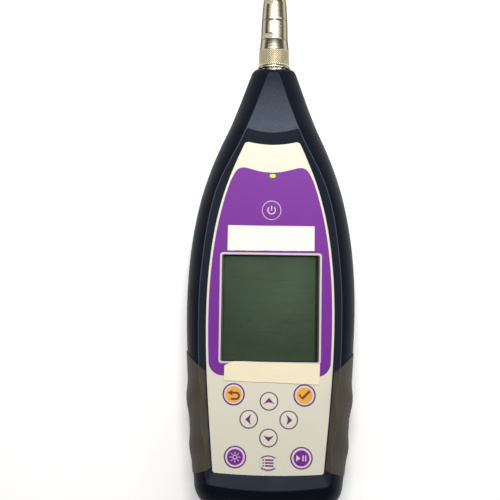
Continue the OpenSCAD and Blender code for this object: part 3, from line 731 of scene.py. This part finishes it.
def led_material():
    """Yellow-green lens that glows faintly."""
    t = Nodes("led_plastic")
    glow = t.blend(t.noise(700, 3), rgb(176, 232, 70), rgb(206, 250, 110))
    return t.set(Base_Color=glow, Roughness=0.3, Emission_Color=glow, Emission_Strength=0.35)


def board_material():
    """Green solder mask with faint copper runs under it."""
    t = Nodes("circuit_board")
    runs = t.spots(420, t.stretched((1, 2.4, 1)))
    body = t.blend(t.remap(runs, 0.3, 0.34), rgb(24, 92, 54), rgb(18, 66, 40))
    return t.set(Base_Color=body, Roughness=0.35, Normal=t.bump(runs, 0.1, 0.03 * MM))


def cell_material():
    """Printed battery jacket: dark, with a copper band at one side of the bay."""
    t = Nodes("battery_jacket")
    lo, hi = box("battery_cells")
    band = t.remap(t.part(t.where, "Y"), mix(lo[1], hi[1], 0.74) * MM, mix(lo[1], hi[1], 0.75) * MM)
    body = t.blend(band, t.blend(t.noise(200), rgb(30, 30, 34), rgb(40, 40, 46)),
                   t.blend(t.noise(200), rgb(176, 112, 58), rgb(200, 136, 76)))
    return t.set(Base_Color=body, Metallic=0.35, Roughness=t.vary(t.noise(500), 0.25, 0.4))


window_m, lcd_m, led_m, board_m, cell_m = (make() for make in (window_material, lcd_material, led_material,
                                                               board_material, cell_material))

# what each material slot of the record is made of
FINISH = {
    "housing": housing_m, "grip": rubber_m, "overlay": film_m, "key_pale": key_film_m, "key_purple": purple_m,
    "key_orange": orange_m, "circuit": white_m, "dome": steel_m, "window": window_m, "lcd": lcd_m,
    "white": white_m, "led": led_m, "label": label_m, "tape": tape_m, "board": board_m, "parts": black_m,
    "plated": nickel_m, "steel": steel_m, "brass": brass_m, "cell": cell_m, "black": black_m, "gold": gold_m,
}


# ---- tools that cut the shells ----

door_lo, door_hi = box("battery_door")
BAY_TOP = box("battery_cells")[1][2] + 0.5
jack, power, usb = middle("output_jack"), middle("power_socket"), box("usb_socket")
insert_r = half_width("tripod_insert")
SCREWS = [(15, 75.4), (32.5, 20), (28.5, -100)]
DOOR_T = 2.0
GRIP_FROM, GRIP_TO = -92.6, -43.0
# heights clear above and below the housing, for tools that cut right through
CLEAR_Z, UNDER_Z = 45, -5
# the line round the parting, as steps in and up from it
GROOVE = [(0.5, 0.0), (0.5, 0.12), (0.07, 0.12)]
VIEW_W, VIEW_H, VIEW_Y = 49.6, 55.4, middle("display_window")[1]


def neck_bores():
    return [plug(5.6, 76, 116, on_axis, 72), plug(7.3, 107, 130, on_axis, 72)]


def door_tool(dx, dy, z0, z1):
    """The outline of the battery door, grown by dx and dy; drawn in, it leaves a ledge for the door."""
    return slab((door_lo[0] - dx, door_hi[0] + dx), (door_lo[1] - dy, door_hi[1] + dy), (z0, z1))


def grip_outline(side, grow):
    """The part of the side that the rubber covers, seen from above."""
    y = np.linspace(GRIP_FROM - grow, GRIP_TO + grow, 60)
    inner = xy(panel(np.clip(y, -94, 77)) + 0.7 - grow, y)
    top = bezier(inner[-1], inner[-1] + [6, 4.6], np.array([50, -27.3 + grow]), np.linspace(0.1, 1, 8))
    low = bezier(np.array([50, -99.4 - grow]), inner[0] + [7, -3.4], inner[0], np.linspace(0, 0.9, 8))
    loop = np.vstack([inner, top, low])
    loop[:, 0] *= side
    return loop


def grip_tool(side, grow, depth):
    """What is taken out of the shells to let a grip in: its outline, down to a surface this deep."""
    tool = prism(grip_outline(side, grow), 4 - grow, CLEAR_Z)
    carve(tool, [skin("core", -depth)])
    return tool


def skin(name, g):
    """The whole outside of the housing as one closed solid, grown by g."""
    middle_ring, up = front_rings(g)
    _, down = rear_rings(g)
    return raw(name, *loft(down[::-1] + [middle_ring] + up))


# ---- housing ----

def shell(name, node, rings, way, tools):
    """Half of the housing, up (1) or down (-1) from the line round the parting, cut by the tools."""
    at, away = rings
    start = PARTING_Z - (0.01 if way < 0 else 0)
    line = [inset(at, d, start + way * h) for d, h in GROOVE] + [lift(at, PARTING_Z + way * 0.2)]
    obj = raw(name, *loft(line + away))
    uncut = carve(obj, tools)
    piece(obj, "housing", [housing_m], [node], like=uncut)


def front_shell():
    w, h = VIEW_W / 2, VIEW_H / 2
    led_lo, led_hi = box("led_lens")
    led_x = half_width("led_lens") - (led_hi[1] - led_lo[1]) / 2
    led = middle("led_lens")
    right, left = [circle(1.25, (led[0] + s * led_x, led[1]), 32) for s in (1, -1)]
    slot = np.vstack([right[24:], right[:9], left[8:25]])
    tools = neck_bores() + [
        slab((-w - 0.7, w + 0.7), (VIEW_Y - h - 0.8, VIEW_Y + h + 0.8), (24.2, CLEAR_Z)),
        slab((-w - 1.9, w + 1.9), (VIEW_Y - h - 2, VIEW_Y + h + 2), (FLOOR_Z - 1, CLEAR_Z)),
        prism(slot, 28, CLEAR_Z),
        door_tool(-0.4, -1.2, 10, BAY_TOP),
        slab((-4, 4), (END_Y - 6, usb[1][1] + 0.2), (19.5, 23.7)),
        plug(3.15, -125, -108, on_socket(jack)),
        plug(3.9, -125, -108, on_socket(power)),
        grip_tool(1, 0.12, 1.5), grip_tool(-1, 0.12, 1.5)]
    shell("front_housing", "front_shell", front_rings(0), 1, tools)


def rear_shell():
    tools = neck_bores() + [
        door_tool(0.4, 0.4, UNDER_Z, DOOR_T + 0.1),
        door_tool(-0.4, -1.2, -4, 20),
        prism(circle(insert_r + 0.03, n=96), UNDER_Z, 9.4),
        grip_tool(1, 0.12, 1.5), grip_tool(-1, 0.12, 1.5)]
    for x, y in SCREWS:
        for s in (-1, 1):
            tools.append(prism(circle(3.1, (s * x, y), 48), UNDER_Z, 5))
            tools.append(prism(circle(1.6, (s * x, y), 32), 4, 14))
    shell("rear_housing", "rear_shell", rear_rings(0), -1, tools)


def grip(side, node):
    """A rubber grip: the part of the skin over its outline, between two depths."""
    form = skin("form", 0.35)
    outside = form.data.copy()
    body = prism(grip_outline(side, 0), 4, CLEAR_Z, node.replace("grip", "rubber_grip"))
    carve(body, [skin("core", -1.4)])
    carve(body, [form], "INTERSECT")
    piece(body, "housing", [rubber_m], [node], like=outside)


front_shell()
rear_shell()
grip(-1, "left_grip")
grip(1, "right_grip")


# ---- membrane panel ----

def rounded_box(x0, x1, y0, y1, r, steps=8):
    a = np.linspace(0, np.pi / 2, steps + 1)
    corners = ((x1 - r, y1 - r, 0), (x0 + r, y1 - r, 1), (x0 + r, y0 + r, 2), (x1 - r, y0 + r, 3))
    return np.vstack([xy(cx + r * np.cos(a + q * np.pi / 2), cy + r * np.sin(a + q * np.pi / 2))
                      for cx, cy, q in corners])


def node_outline(node, grow, r, steps=8):
    """The outline of a CAD node seen from above, grown by this much, with its corners rounded."""
    lo, hi = box(node)
    return rounded_box(lo[0] - grow, hi[0] + grow, lo[1] - grow, hi[1] + grow, r, steps)


def slot_outline(node, grow):
    lo, hi = box(node)
    return node_outline(node, grow, (hi[1] - lo[1]) / 2 + grow - 0.001, 12)


def menu_outline(grow):
    lo, hi = box("key_menu")
    cx, cy = middle("key_menu")[:2]
    w, h, r = half_width("key_menu") + grow, (hi[1] - lo[1]) / 2, 6.5 + grow
    a = np.linspace(math.asin(w / r), -math.asin(w / r), 25)
    top = xy(cx + r * np.sin(a), cy + h - 6.5 + r * np.cos(a))
    low = xy(cx - r * np.sin(a), cy - h + 6.5 - r * np.cos(a))
    return np.vstack([top, low])


def panel_outline(gap):
    half = gathered(lambda y: panel(y) - gap, panel(PANEL_TOP) - 0.6 - gap, PANEL_TOP - gap, 1.7,
                    PANEL_END + 1 + gap, 1.6, 1, 1.5)
    return whole(lift(half, 0))[:, :2]


KEYS = ["power", "back", "ok", "up", "down", "left", "right", "backlight", "run"]
GAP = 0.25
# how thick the print is, and how far a key's cap stays clear of the dome under it
PRINT = 0.03
LIFT = 0.03


def key_place(key):
    return middle("key_" + key)[:2], half_width("key_" + key)


def key_holes(grow=GAP):
    return [circle(key_place(k)[1] + grow, key_place(k)[0]) for k in KEYS]


def view_outline(grow, r):
    w, h = VIEW_W / 2 + grow, VIEW_H / 2 + grow
    return rounded_box(-w, w, VIEW_Y - h, VIEW_Y + h, r)


film_holes = key_holes() + [menu_outline(0.2), slot_outline("led_lens", -0.25), view_outline(0, 0.5)]
film = plate("membrane_panel", [panel_outline(GAP)] + film_holes, FACE_Z - 1, FACE_Z, 0.06)
piece(film, "housing", [film_m], ["panel_overlay"])


def purple_outline():
    """The printed field: two horns at the top, a pale margin down the sides, round lower corners."""
    margin, r, corner_y = 1.4, 7.3, -37.9
    brow = spline([(0, 60.65), (5.3, 61.1), (10.5, 62.35), (13.4, 63.1), (15.6, 63.2), (17.6, 62.5),
                   (19.2, 60.9), (20.4, 58.7), (float(panel(56.0)) - margin, 56)], 8)
    y = np.linspace(55.2, corner_y, 90)
    side = xy(panel(y) - margin, y)
    x = side[-1][0] - r
    a = np.linspace(0, np.pi / 2, 16)[1:]
    corner = xy(x + r * np.cos(a), corner_y - r * np.sin(a))
    half = np.vstack([brow, side, corner, xy([x * 0.5, 0], corner_y - r)])
    return whole(lift(half, 0))[:, :2]


def bead_line(inward, r):
    """The raised line round the display, drawn in from its outer edge."""
    return rounded_box(-26.5 + inward, 26.5 - inward, -38.9 + inward, 18.7 - inward, r)


def printed(name, loops, material, thick=PRINT, bevel=0.0):
    """Something printed on, or moulded into, the face of the panel."""
    return piece(plate(name, loops, FACE_Z, FACE_Z + thick, bevel), "housing", [material])


led_rim = slot_outline("led_lens", 0.15)
printed("purple_field", [purple_outline(), key_holes()[0], led_rim, bead_line(0, 1.7)], purple_m)
printed("display_bead", [bead_line(0, 1.7), bead_line(1.05, 0.9)], bead_m, 0.16, 0.07)
# painted shadow line between the bead and the window opening
printed("window_shadow_band", [bead_line(1.05, 0.9), view_outline(0.02, 0.5)], shadow_band_m)
printed("led_surround", [led_rim, slot_outline("led_lens", -0.25)], led_print_m)

led_lo, led_hi = box("led_lens")
lens = plate("led_window", [slot_outline("led_lens", -0.27)], led_lo[2] + 0.7, led_hi[2], 0.22)
piece(lens, "housing", [led_m], ["led_lens"])

# the display: a dark surround, which is its frame and also painted shade round the recessed live area, with
# the live area on it, under a clear window
lcd_lo, lcd_hi = box("lcd_panel")
base_plate = plate("display_module", [node_outline("lcd_panel", 0, 0.6)], lcd_lo[2], lcd_hi[2] - 0.1, 0.1)
piece(base_plate, "housing", [surround_and_shade_m], ["lcd_panel"])
# the live area is set in further on the right, so the painted shade band is wider there
live_area = rounded_box(lcd_lo[0] + 1.0, lcd_hi[0] - 2.0, lcd_lo[1] + 1.2, lcd_hi[1] - 1.3, 0.3)
live = plate("display_live_area", [live_area], lcd_hi[2] - 0.1, lcd_hi[2] - 0.02)
piece(live, "housing", [lcd_m])
view_lo, view_hi = box("display_window")
clear = plate("display_window_pane", [node_outline("display_window", -0.05, 0.8)],
              view_lo[2] + 0.02, view_hi[2], 0.08)
piece(clear, "housing", [window_m], ["display_window"])


# ---- keys ----

def stroke(points, width, closed=False):
    """Outline of a line of this width along the points."""
    p = np.array(points, float)
    if closed:
        t = np.roll(p, -1, 0) - np.roll(p, 1, 0)
    else:
        t = np.gradient(p, axis=0)
    seg = np.diff(np.vstack([p, p[:1]]) if closed else p, axis=0)
    seg /= np.linalg.norm(seg, axis=1, keepdims=True)
    t /= np.linalg.norm(t, axis=1, keepdims=True)
    n = xy(-t[:, 1], t[:, 0])
    first = seg if closed else np.vstack([seg, seg[-1:]])
    k = np.clip(np.sum(t * first, axis=1), 0.5, 1)[:, None]
    a, b = p + n * width / 2 / k, p - n * width / 2 / k
    return [a, b] if closed else [np.vstack([a, b[::-1]])]


def arc(r, start, end, at=(0, 0), n=40):
    a = np.radians(np.linspace(start, end, n))
    return xy(at[0] + r * np.cos(a), at[1] + r * np.sin(a))


def spun(points, degrees):
    a = math.radians(degrees)
    return np.asarray(points, float) @ np.array([[math.cos(a), math.sin(a)], [-math.sin(a), math.cos(a)]])


def bar(x0, x1, half):
    return np.array([(x0, half), (x1, half), (x1, -half), (x0, -half)])


HEAD = [(0, 1.9), (-2.9, -1.4), (-1.4, -0.78), (0, -0.55), (1.4, -0.78), (2.9, -1.4)]
SUN = (stroke(arc(1.05, 0, 351, n=40), 0.42, True)
       + [xy(*spun([(1.75, 0.2), (2.75, 0.2), (2.75, -0.2), (1.75, -0.2)], 45 * i).T) for i in range(8)])
MENU_Y = (1.5, 0, -1.5)
MENU_ROWS = [bar(-1.7, 2.8, 0.42) + [0, y] for y in MENU_Y]
ICONS = {
    "power": stroke(arc(1.95, 130, 410), 0.48) + [bar(-0.24, 0.24, 1.25) + [0, 1.05]],
    "back": [np.vstack([[(-3.1, 0.85), (-0.4, 2.45), (-0.8, 1.4)], arc(2.15, 90, -90, (1.25, -0.75), 20),
                        [(-1.4, -2.9), (-1.4, -1.8)], arc(1.05, -90, 90, (1.25, -0.75), 20),
                        [(-0.8, 0.3), (-0.4, -0.75)]])],
    "ok": stroke([(-2.7, 0.35), (-1.1, -1.55), (2.7, 2.3)], 1.3),
    "up": [np.array(HEAD)], "down": [spun(HEAD, 180)], "left": [spun(HEAD, 90)], "right": [spun(HEAD, -90)],
    "backlight": SUN,
    "run": [np.array([(-2.7, 1.65), (-0.5, 0), (-2.7, -1.65)]), bar(0.5, 1.15, 1.5), bar(1.85, 2.5, 1.5)],
}
# for each key: slot, cap, disc radius, disc, icon, ring radius, ring width, ring
LOOK = {
    "power": ("key_purple", purple_m, 0, None, pink_m, 4.8, 0.42, pink_m),
    **dict.fromkeys(("back", "ok"), ("key_orange", pink_m, 4.15, orange_m, ink_m, 5.41, 0.76, ring_m)),
    **dict.fromkeys(("backlight", "run"), ("key_purple", pink_m, 4.1, purple_m, pink_m, 5.46, 0.72, ring_m)),
    **dict.fromkeys(("up", "down", "left", "right"),
                    ("key_pale", key_film_m, 0, None, arrow_m, 4.53, 0.66, grey_ring_m)),
}


def paint_rim(obj, centre, r):
    """Gives the faces beyond radius r the second material."""
    for f in obj.data.polygons:
        at = np.array(f.center)[:2] / MM - centre
        f.material_index = int(np.hypot(*at) > r)


def key(name):
    """A key's cap with its rim, disc and icon, and the part of its ring that is printed on the panel."""
    slot_name, cap_m, disc_r, disc_m, icon_m, ring_r, ring_w, line_m = LOOK[name]
    at, r = key_place(name)
    body = "key_" + name
    edge_r = r + 0.2
    line_in = ring_r - ring_w / 2
    profile = [(edge_r, box(body)[0][2] + LIFT - KEY_TOP), (edge_r, -0.3), (edge_r - 0.08, -0.12),
               (edge_r - 0.28, -0.02), (edge_r - 0.5, 0)]
    inner = [(max(line_in, 0.5), 0)] if line_in < edge_r - 0.5 else []
    cap = lathe(body + "_cap", profile + inner, upright(at, KEY_TOP), 72, False)
    paint_rim(cap, at, line_in)
    piece(cap, body, [cap_m, line_m], [body])
    top = KEY_TOP
    if disc_r:
        disc = plate(body + "_disc", [circle(disc_r, at)], top, top + PRINT)
        piece(disc, body, [disc_m])
        top += PRINT
    icon = plate(body + "_icon", [loop + at for loop in ICONS[name]], top, top + PRINT)
    piece(icon, body, [icon_m])
    printed(body + "_ring", [circle(ring_r + ring_w / 2, at), circle(r + GAP, at)], line_m,
            2 * PRINT if name == "power" else PRINT)


for name in LOOK:
    key(name)

menu_at = middle("key_menu")[:2]
menu_cap = plate("key_menu_cap", [menu_outline(0.15)], box("key_menu")[0][2] + LIFT, KEY_TOP, 0.14)
piece(menu_cap, "key_menu", [key_film_m], ["key_menu"])
menu_marks = MENU_ROWS + [circle(0.44, (-2.55, y), 20) for y in MENU_Y]
for s in (90, -90):
    menu_marks += stroke(arc(6.1, s - 36, s + 36, (0, -2.5 if s > 0 else 2.5)), 0.62)
menu_icon = plate("key_menu_icon", [m + menu_at for m in menu_marks], KEY_TOP, KEY_TOP + PRINT)
piece(menu_icon, "key_menu", [arrow_m])


# ---- label and tape ----

def sticker(name, top, low, thick, lift_z, rough_edge, curl, n=(90, 36)):
    """A thin, slightly uneven sheet between a top and a lower edge, each a line from left to right."""
    def along(line, u):
        line = np.array(line, float)
        run = np.concatenate([[0], np.cumsum(np.linalg.norm(np.diff(line, axis=0), axis=1))])
        return xy(np.interp(u, run / run[-1], line[:, 0]), np.interp(u, run / run[-1], line[:, 1]))

    u, v = np.meshgrid(np.linspace(0, 1, n[0]), np.linspace(0, 1, n[1]))
    p = mix(along(top, u), along(low, u), v[..., None])
    for row, sign in ((0, 1), (-1, -1)):
        jag = np.cumsum(rng.normal(0, 1, n[0]))
        jag -= np.linspace(jag[0], jag[-1], n[0])
        p[row, :, 1] += rough_edge * jag / max(abs(jag).max(), 1) * sign
    k = rng.uniform(0, 6.3, 6)
    wave = (np.sin(7 * u + k[0]) * np.cos(3 * v + k[1]) + 0.6 * np.sin(17 * u + 5 * v + k[2])
            + 0.4 * np.sin(31 * u - 9 * v + k[3])) / 2
    edge = np.maximum(abs(2 * u - 1) ** 16, abs(2 * v - 1) ** 8) * (0.5 + 0.5 * np.sin(9 * u + 4 * v + k[4]))
    z = FACE_Z + lift_z + thick + 0.03 * (wave + 1) + curl * edge
    verts = np.vstack([np.dstack([p, z]).reshape(-1, 3), np.dstack([p, z - thick]).reshape(-1, 3)])
    count = n[0] * n[1]
    at = np.arange(count).reshape(n[1], n[0])
    a, b, c, d = (corner.ravel() for corner in (at[:-1, :-1], at[1:, :-1], at[1:, 1:], at[:-1, 1:]))
    sheets = np.column_stack([a, b, c, d, count + a, count + d, count + c, count + b]).reshape(-1, 4)
    rim = np.concatenate([at[0], at[1:, -1], at[-1, -2::-1], at[-2:0:-1, 0]])
    after = np.roll(rim, -1)
    edges = np.column_stack([rim, after, count + after, count + rim])
    return raw(name, verts, np.vstack([sheets, edges]).tolist())


label = sticker("blank_label", [(-22.55, 32.85), (22.45, 32.75)], [(-22.7, 19.75), (22.55, 19.9)],
                0.12, PRINT, 0.12, 0.12)
piece(label, "housing", [label_m], ["paper_label"])
tape = sticker("masking_tape_strip", [(-23.35, -40.0), (-18.7, -37.8), (26.1, -38.6)],
               [(-23.4, -47.8), (25.85, -49.2)], 0.12, 0.17, 0.2, 0.1)
piece(tape, "housing", [tape_m], ["masking_tape"])


# ---- microphone end ----

def knurl(r, t, a):
    """Two crossed sets of fine helical grooves in the grip of the collar."""
    lo, hi = KNURL
    depth = 0.34 * np.clip(min(t - lo, hi - t) / 0.35, 0, 1)
    if r < KNURL_R - 0.02 or depth <= 0:
        return np.full(len(a), r)
    turns = a / (2 * np.pi) * KNURL_N
    rise = t / KNURL_PITCH
    groove = [np.abs((turns + s * rise) % 1 - 0.5) * 2 for s in (1, -1)]
    return r - depth * np.clip(1 - np.minimum(*groove) * 2.2, 0, 1)


c_lo, c_hi = box("knurled_collar")
KNURL_N, KNURL_PITCH = 40, 1.2
KNURL_R = half_width("knurled_collar")
KNURL = (c_lo[1] + 0.35, c_lo[1] + 8.2)
inner = KNURL_R - 1.3
profile = ([(inner + 0.4, c_lo[1]), (KNURL_R - 0.25, c_lo[1])]
           + [(KNURL_R, y) for y in np.arange(KNURL[0], KNURL[1], 0.135)]
           + [(KNURL_R - 0.25, KNURL[1] + 0.25), (KNURL_R - 0.3, KNURL[1] + 0.5),
              (KNURL_R - 0.32, KNURL[1] + 0.9), (7.72, c_lo[1] + 9.9), (7.6, c_lo[1] + 10.4),
              (7.34, c_hi[1] - 0.3), (7.2, c_hi[1]), (inner, c_hi[1]),
              (inner, c_lo[1] + 8.3), (inner + 0.4, c_lo[1] + 8.3)])
collar = lathe("knurled_ring", profile, on_axis, 448, True, knurl)
# the knurl's tops take the painted highlight, its grooves the painted shade
for f in collar.data.polygons:
    r = np.hypot(f.center[0] / MM, f.center[2] / MM - AXIS_Z)
    if r > KNURL_R - 0.4 and f.center[1] / MM < KNURL[1]:
        f.material_index = 1 if r > KNURL_R - 0.13 else 2
piece(collar, "knurled_collar", [nickel_m, knurl_top_highlight_m, knurl_groove_shade_m], ["knurled_collar"], 50)


def turned(name, body, profile, nodes, bevel=0.18, tools=(), ends=True):
    """A plated part turned round the microphone's axis with softened corners, the end ones only if asked."""
    obj = lathe(name, soften(profile, bevel, ends), on_axis, 120)
    uncut = carve(obj, tools) if tools else None
    piece(obj, body, [nickel_m], nodes, like=uncut)


def spanner_slot(at_y, floor_r, length, r, angle=-26):
    """A tool for a shallow slot with round ends in the upper left of a tube."""
    tool = prism(rounded_box(-length / 2, length / 2, -r, r, r - 0.001, 10), floor_r, floor_r + 3)
    lean = Matrix.Rotation(math.radians(angle), 4, "Y")
    tool.data.transform(Matrix.Translation((0, at_y * MM, AXIS_Z * MM)) @ lean)
    return tool


t_lo, t_hi = box("preamp_tube")
tube_r = half_width("preamp_tube")
T = t_lo[1]
turned("preamplifier_tube", "preamplifier",
       [(5.9, T), (6.75, T), (6.75, T + 6), (tube_r - 0.05, T + 6), (tube_r, T + 6.4), (tube_r - 0.1, T + 8),
        (tube_r - 0.25, T + 15.8), (tube_r - 0.4, t_hi[1]), (6, t_hi[1]), (6, T + 12.7), (5.9, T + 12.6)],
       ["preamp_tube"], tools=[spanner_slot(T + 7.9, 6.4, 6.2, 1.45)])
C = box("preamp_cone")[0][1]
turned("preamplifier_cone", "preamplifier",
       [(5, C), (5.95, C), (5.95, C + 3.75), (6.8, C + 3.75), (6.76, C + 5), (6.15, C + 13.6),
        (5.5, C + 16.2), (5.4, C + 16.3), (5.4, C + 19.4), (4, C + 19.4), (4, C + 16), (5, C + 13)],
       ["preamp_cone"], tools=[spanner_slot(C + 13.4, 5.7, 4.4, 1.3)])
M = box("mic_cartridge")[0][1]
mic_r = half_width("mic_cartridge")
turned("microphone_cartridge", "microphone",
       [(5.6, M), (5.95, M), (mic_r, M + 0.5), (mic_r, M + 9), (5.9, M + 9), (5.9, M + 12),
        (5.3, M + 12), (5.3, M + 4), (5.6, M + 4)], ["mic_cartridge"])


def protection_grid():
    """A cap over the diaphragm, with slots across its face and round its side and a hole in the middle."""
    lo, hi = box("protection_grid")
    r, y0, y1 = half_width("protection_grid"), lo[1], hi[1]
    tools = []
    for i in range(8):
        turn_to = Matrix.Translation((0, 0, AXIS_Z * MM)) @ Matrix.Rotation(i * math.pi / 4, 4, "Y")
        face_slot = slab((2.5, 4.9), (y1 - 2, y1 + 1), (-0.45, 0.45))
        side_slot = slab((5.2, 8), (y0 + 3.2, y0 + 4.3), (-0.5, 0.5))
        for tool in (face_slot, side_slot):
            tool.data.transform(turn_to)
            tools.append(tool)
    tools.append(plug(0.75, y1 - 2, y1 + 1, on_axis, 40))
    turned("microphone_grid", "microphone",
           [(6, y0), (r - 0.15, y0), (r, y0 + 0.4), (r, y1 - 0.5), (r - 0.5, y1), (0.01, y1),
            (0.01, y1 - 0.8), (6, y1 - 0.8)], ["protection_grid"], 0.3, tools, ends=False)


protection_grid()
s_lo, s_hi = box("preamp_socket")
F = NECK_Y
turned("connector_shell", "housing",
       [(5.5, s_lo[1]), (7.2, s_lo[1]), (7.2, F), (s_hi[0] - 0.05, F), (s_hi[0], F + 0.3), (s_hi[0], F + 0.9),
        (s_hi[0] - 0.3, F + 1.2), (7.1, F + 1.2), (7.1, s_hi[1]), (5.5, s_hi[1])], ["preamp_socket"])


# ---- back ----

def battery_door():
    """The door, with a thumb recess, ribs in it and a latch on its inner face."""
    edge_y = door_lo[1]
    door = plate("battery_cover", [node_outline("battery_door", 0, 1.6)], 0, DOOR_T, 0.3)
    carve(door, [plate("tool", [rounded_box(-9, 9, edge_y + 4.2, edge_y + 15.4, 3)], -1, 0.35)])
    piece(door, "battery_door", [housing_m], ["battery_door"])
    catch = rounded_box(-6, 6, edge_y + 1.85, edge_y + 2.95, 0.5)
    tab = plate("battery_cover_latch", [catch], DOOR_T - 0.2, door_hi[2], 0.2)
    piece(tab, "battery_door", [housing_m])
    ribs = [rounded_box(-7.4, 7.4, y - 0.4, y + 0.4, 0.35) for y in np.arange(edge_y + 6, edge_y + 14, 1.8)]
    piece(plate("battery_cover_ribs", ribs, 0.03, 0.45, 0.1), "battery_door", [housing_m])


battery_door()


THREAD_R, THREAD_PITCH, THREAD_DEPTH = 3.175, 1.27, 0.55


def thread(r, z, a):
    """Reshapes the bore into a thread with twenty turns to the inch."""
    if r != THREAD_R:
        return np.full(len(a), r)
    to_crest = np.abs((z / THREAD_PITCH + a / (2 * np.pi)) % 1 - 0.5) * 2
    return THREAD_R - THREAD_DEPTH * (1 - to_crest) * 0.9


def tripod_bush():
    """The brass bush, with its outside first and then its bore, down to the blind end."""
    top = box("tripod_insert")[1][2]
    deep = top - 1
    bore = [(THREAD_R, z) for z in np.arange(0.5, deep, THREAD_PITCH / 10)]
    profile = ([(insert_r, top), (insert_r, 0.25), (insert_r - 0.25, 0), (3.75, 0), (3.2, 0.45)] + bore
               + [(2.6, deep), (0.3, deep)])
    bush = lathe("tripod_bush", profile, upright((0, 0), 0), 96, False, thread)
    piece(bush, "housing", [brass_m], ["tripod_insert"])


tripod_bush()


def screws():
    """Domed screw heads with cross recesses, down their counterbores, with their shanks."""
    top = box("housing_screws")[0][2]
    profile = [(0.01, top), (1.6, top + 0.05), (2.5, top + 0.35), (2.8, top + 0.9), (2.8, top + 2),
               (1.25, top + 2), (1.25, top + 20), (0.01, top + 20)]
    made = []
    for x, y in SCREWS:
        for s in (-1, 1):
            head = lathe("head", soften(profile, 0.15), upright((s * x, y), 0), 48, False)
            carve(head, [slab((s * x - w, s * x + w), (y - h, y + h), (top - 2, top + 1.1))
                         for w, h in ((0.4, 1.55), (1.55, 0.4))])
            made.append(head)
    bpy.context.view_layer.update()
    with bpy.context.temp_override(active_object=made[0], selected_editable_objects=made):
        bpy.ops.object.join()
    made[0].name = "housing_screw_set"
    piece(made[0], "housing", [steel_m], ["housing_screws"])


screws()

# ---- everything else keeps its CAD shape and gets its finish ----

slots = {p["node"]: p["material_slot"] for p in frame["record"]["subparts"]}
for name, obj in frame["nodes"].items():
    obj.data.materials.clear()
    obj.data.materials.append(FINISH[slots[name]])


# ---- floor, light and camera ----

def stage():
    """A pale table, just under the flat back."""
    reach, z = 4, -0.0004
    mesh = bpy.data.meshes.new("table_top")
    corners = [(-reach, -reach, z), (reach, -reach, z), (reach, reach, z), (-reach, reach, z)]
    mesh.from_pydata(corners, [], [(0, 1, 2, 3)])
    floor = linked(bpy.data.objects.new("table_top", mesh))
    t = Nodes("pale_table")
    shade = t.blend(t.noise(3), (0.9, 0.9, 0.9), (0.93, 0.93, 0.93))
    glow = {"Emission_Color": (1, 1, 1, 1), "Emission_Strength": 0.32}
    mesh.materials.append(t.set(Base_Color=shade, Roughness=0.9, **glow))


WARM, COOL = (1, 0.985, 0.95), (0.97, 0.98, 1)


def area(name, at, aim, size, power, colour):
    """A soft light; the places and sizes are in metres."""
    data = bpy.data.lights.new(name, "AREA")
    data.shape = "RECTANGLE"
    data.size, data.size_y = size
    data.energy = power
    data.color = colour
    light = linked(bpy.data.objects.new(name, data))
    light.location = at
    light.rotation_mode = "QUATERNION"
    light.rotation_quaternion = (Vector(aim) - Vector(at)).to_track_quat("-Z", "Y")


# how far the camera is from the panel, in metres
VIEW_FAR = 0.6


def camera():
    """Looks down on the meter, leaning a little towards its foot and turned a little about the view."""
    data = bpy.data.cameras.new("camera")
    data.lens = 82.99
    data.sensor_width = 36
    data.clip_start, data.clip_end = 0.01, 20
    lean, swing, roll = math.radians(3.6), math.radians(1.8), math.radians(0.866)
    look = np.array([-math.tan(swing), math.sin(lean), -math.cos(lean)])
    look /= np.linalg.norm(look)
    right = np.array([1, 0, look[0] / -look[2]])
    right /= np.linalg.norm(right)
    up = np.cross(right, look)
    r = math.cos(roll) * right + math.sin(roll) * up
    u = -math.sin(roll) * right + math.cos(roll) * up
    at = np.array([-10.97, 20, FACE_Z]) * MM - look * VIEW_FAR
    cam = linked(bpy.data.objects.new("camera", data))
    cam.matrix_world = Matrix([[r[i], u[i], -look[i], at[i]] for i in range(3)] + [[0, 0, 0, 1]])
    bpy.context.scene.camera = cam


stage()
world = bpy.data.worlds.new("studio")
world.use_nodes = True
sky = world.node_tree.nodes["Background"].inputs
sky["Color"].default_value = (0.95, 0.97, 1, 1)
sky["Strength"].default_value = 0.05
bpy.context.scene.world = world
area("key_light", (0.02, 0.26, 0.46), (0, 0.03, 0), (0.15, 0.15), 1.75, WARM)
area("wide_light", (0.03, 0.27, 0.47), (0, 0.03, 0), (0.7, 0.25), 0.9, WARM)
area("left_light", (-0.36, 0.27, 0.5), (0, 0.05, 0), (0.25, 0.4), 0.4, WARM)
area("fill_light", (0.6, 0.1, 0.5), (0, 0, 0), (0.4, 0.4), 1.1, COOL)
area("foot_light", (-0.5, -0.6, 0.8), (0, 0, 0), (0.5, 0.5), 1.2, COOL)
camera()
bpy.context.scene.view_settings.view_transform = "Standard"
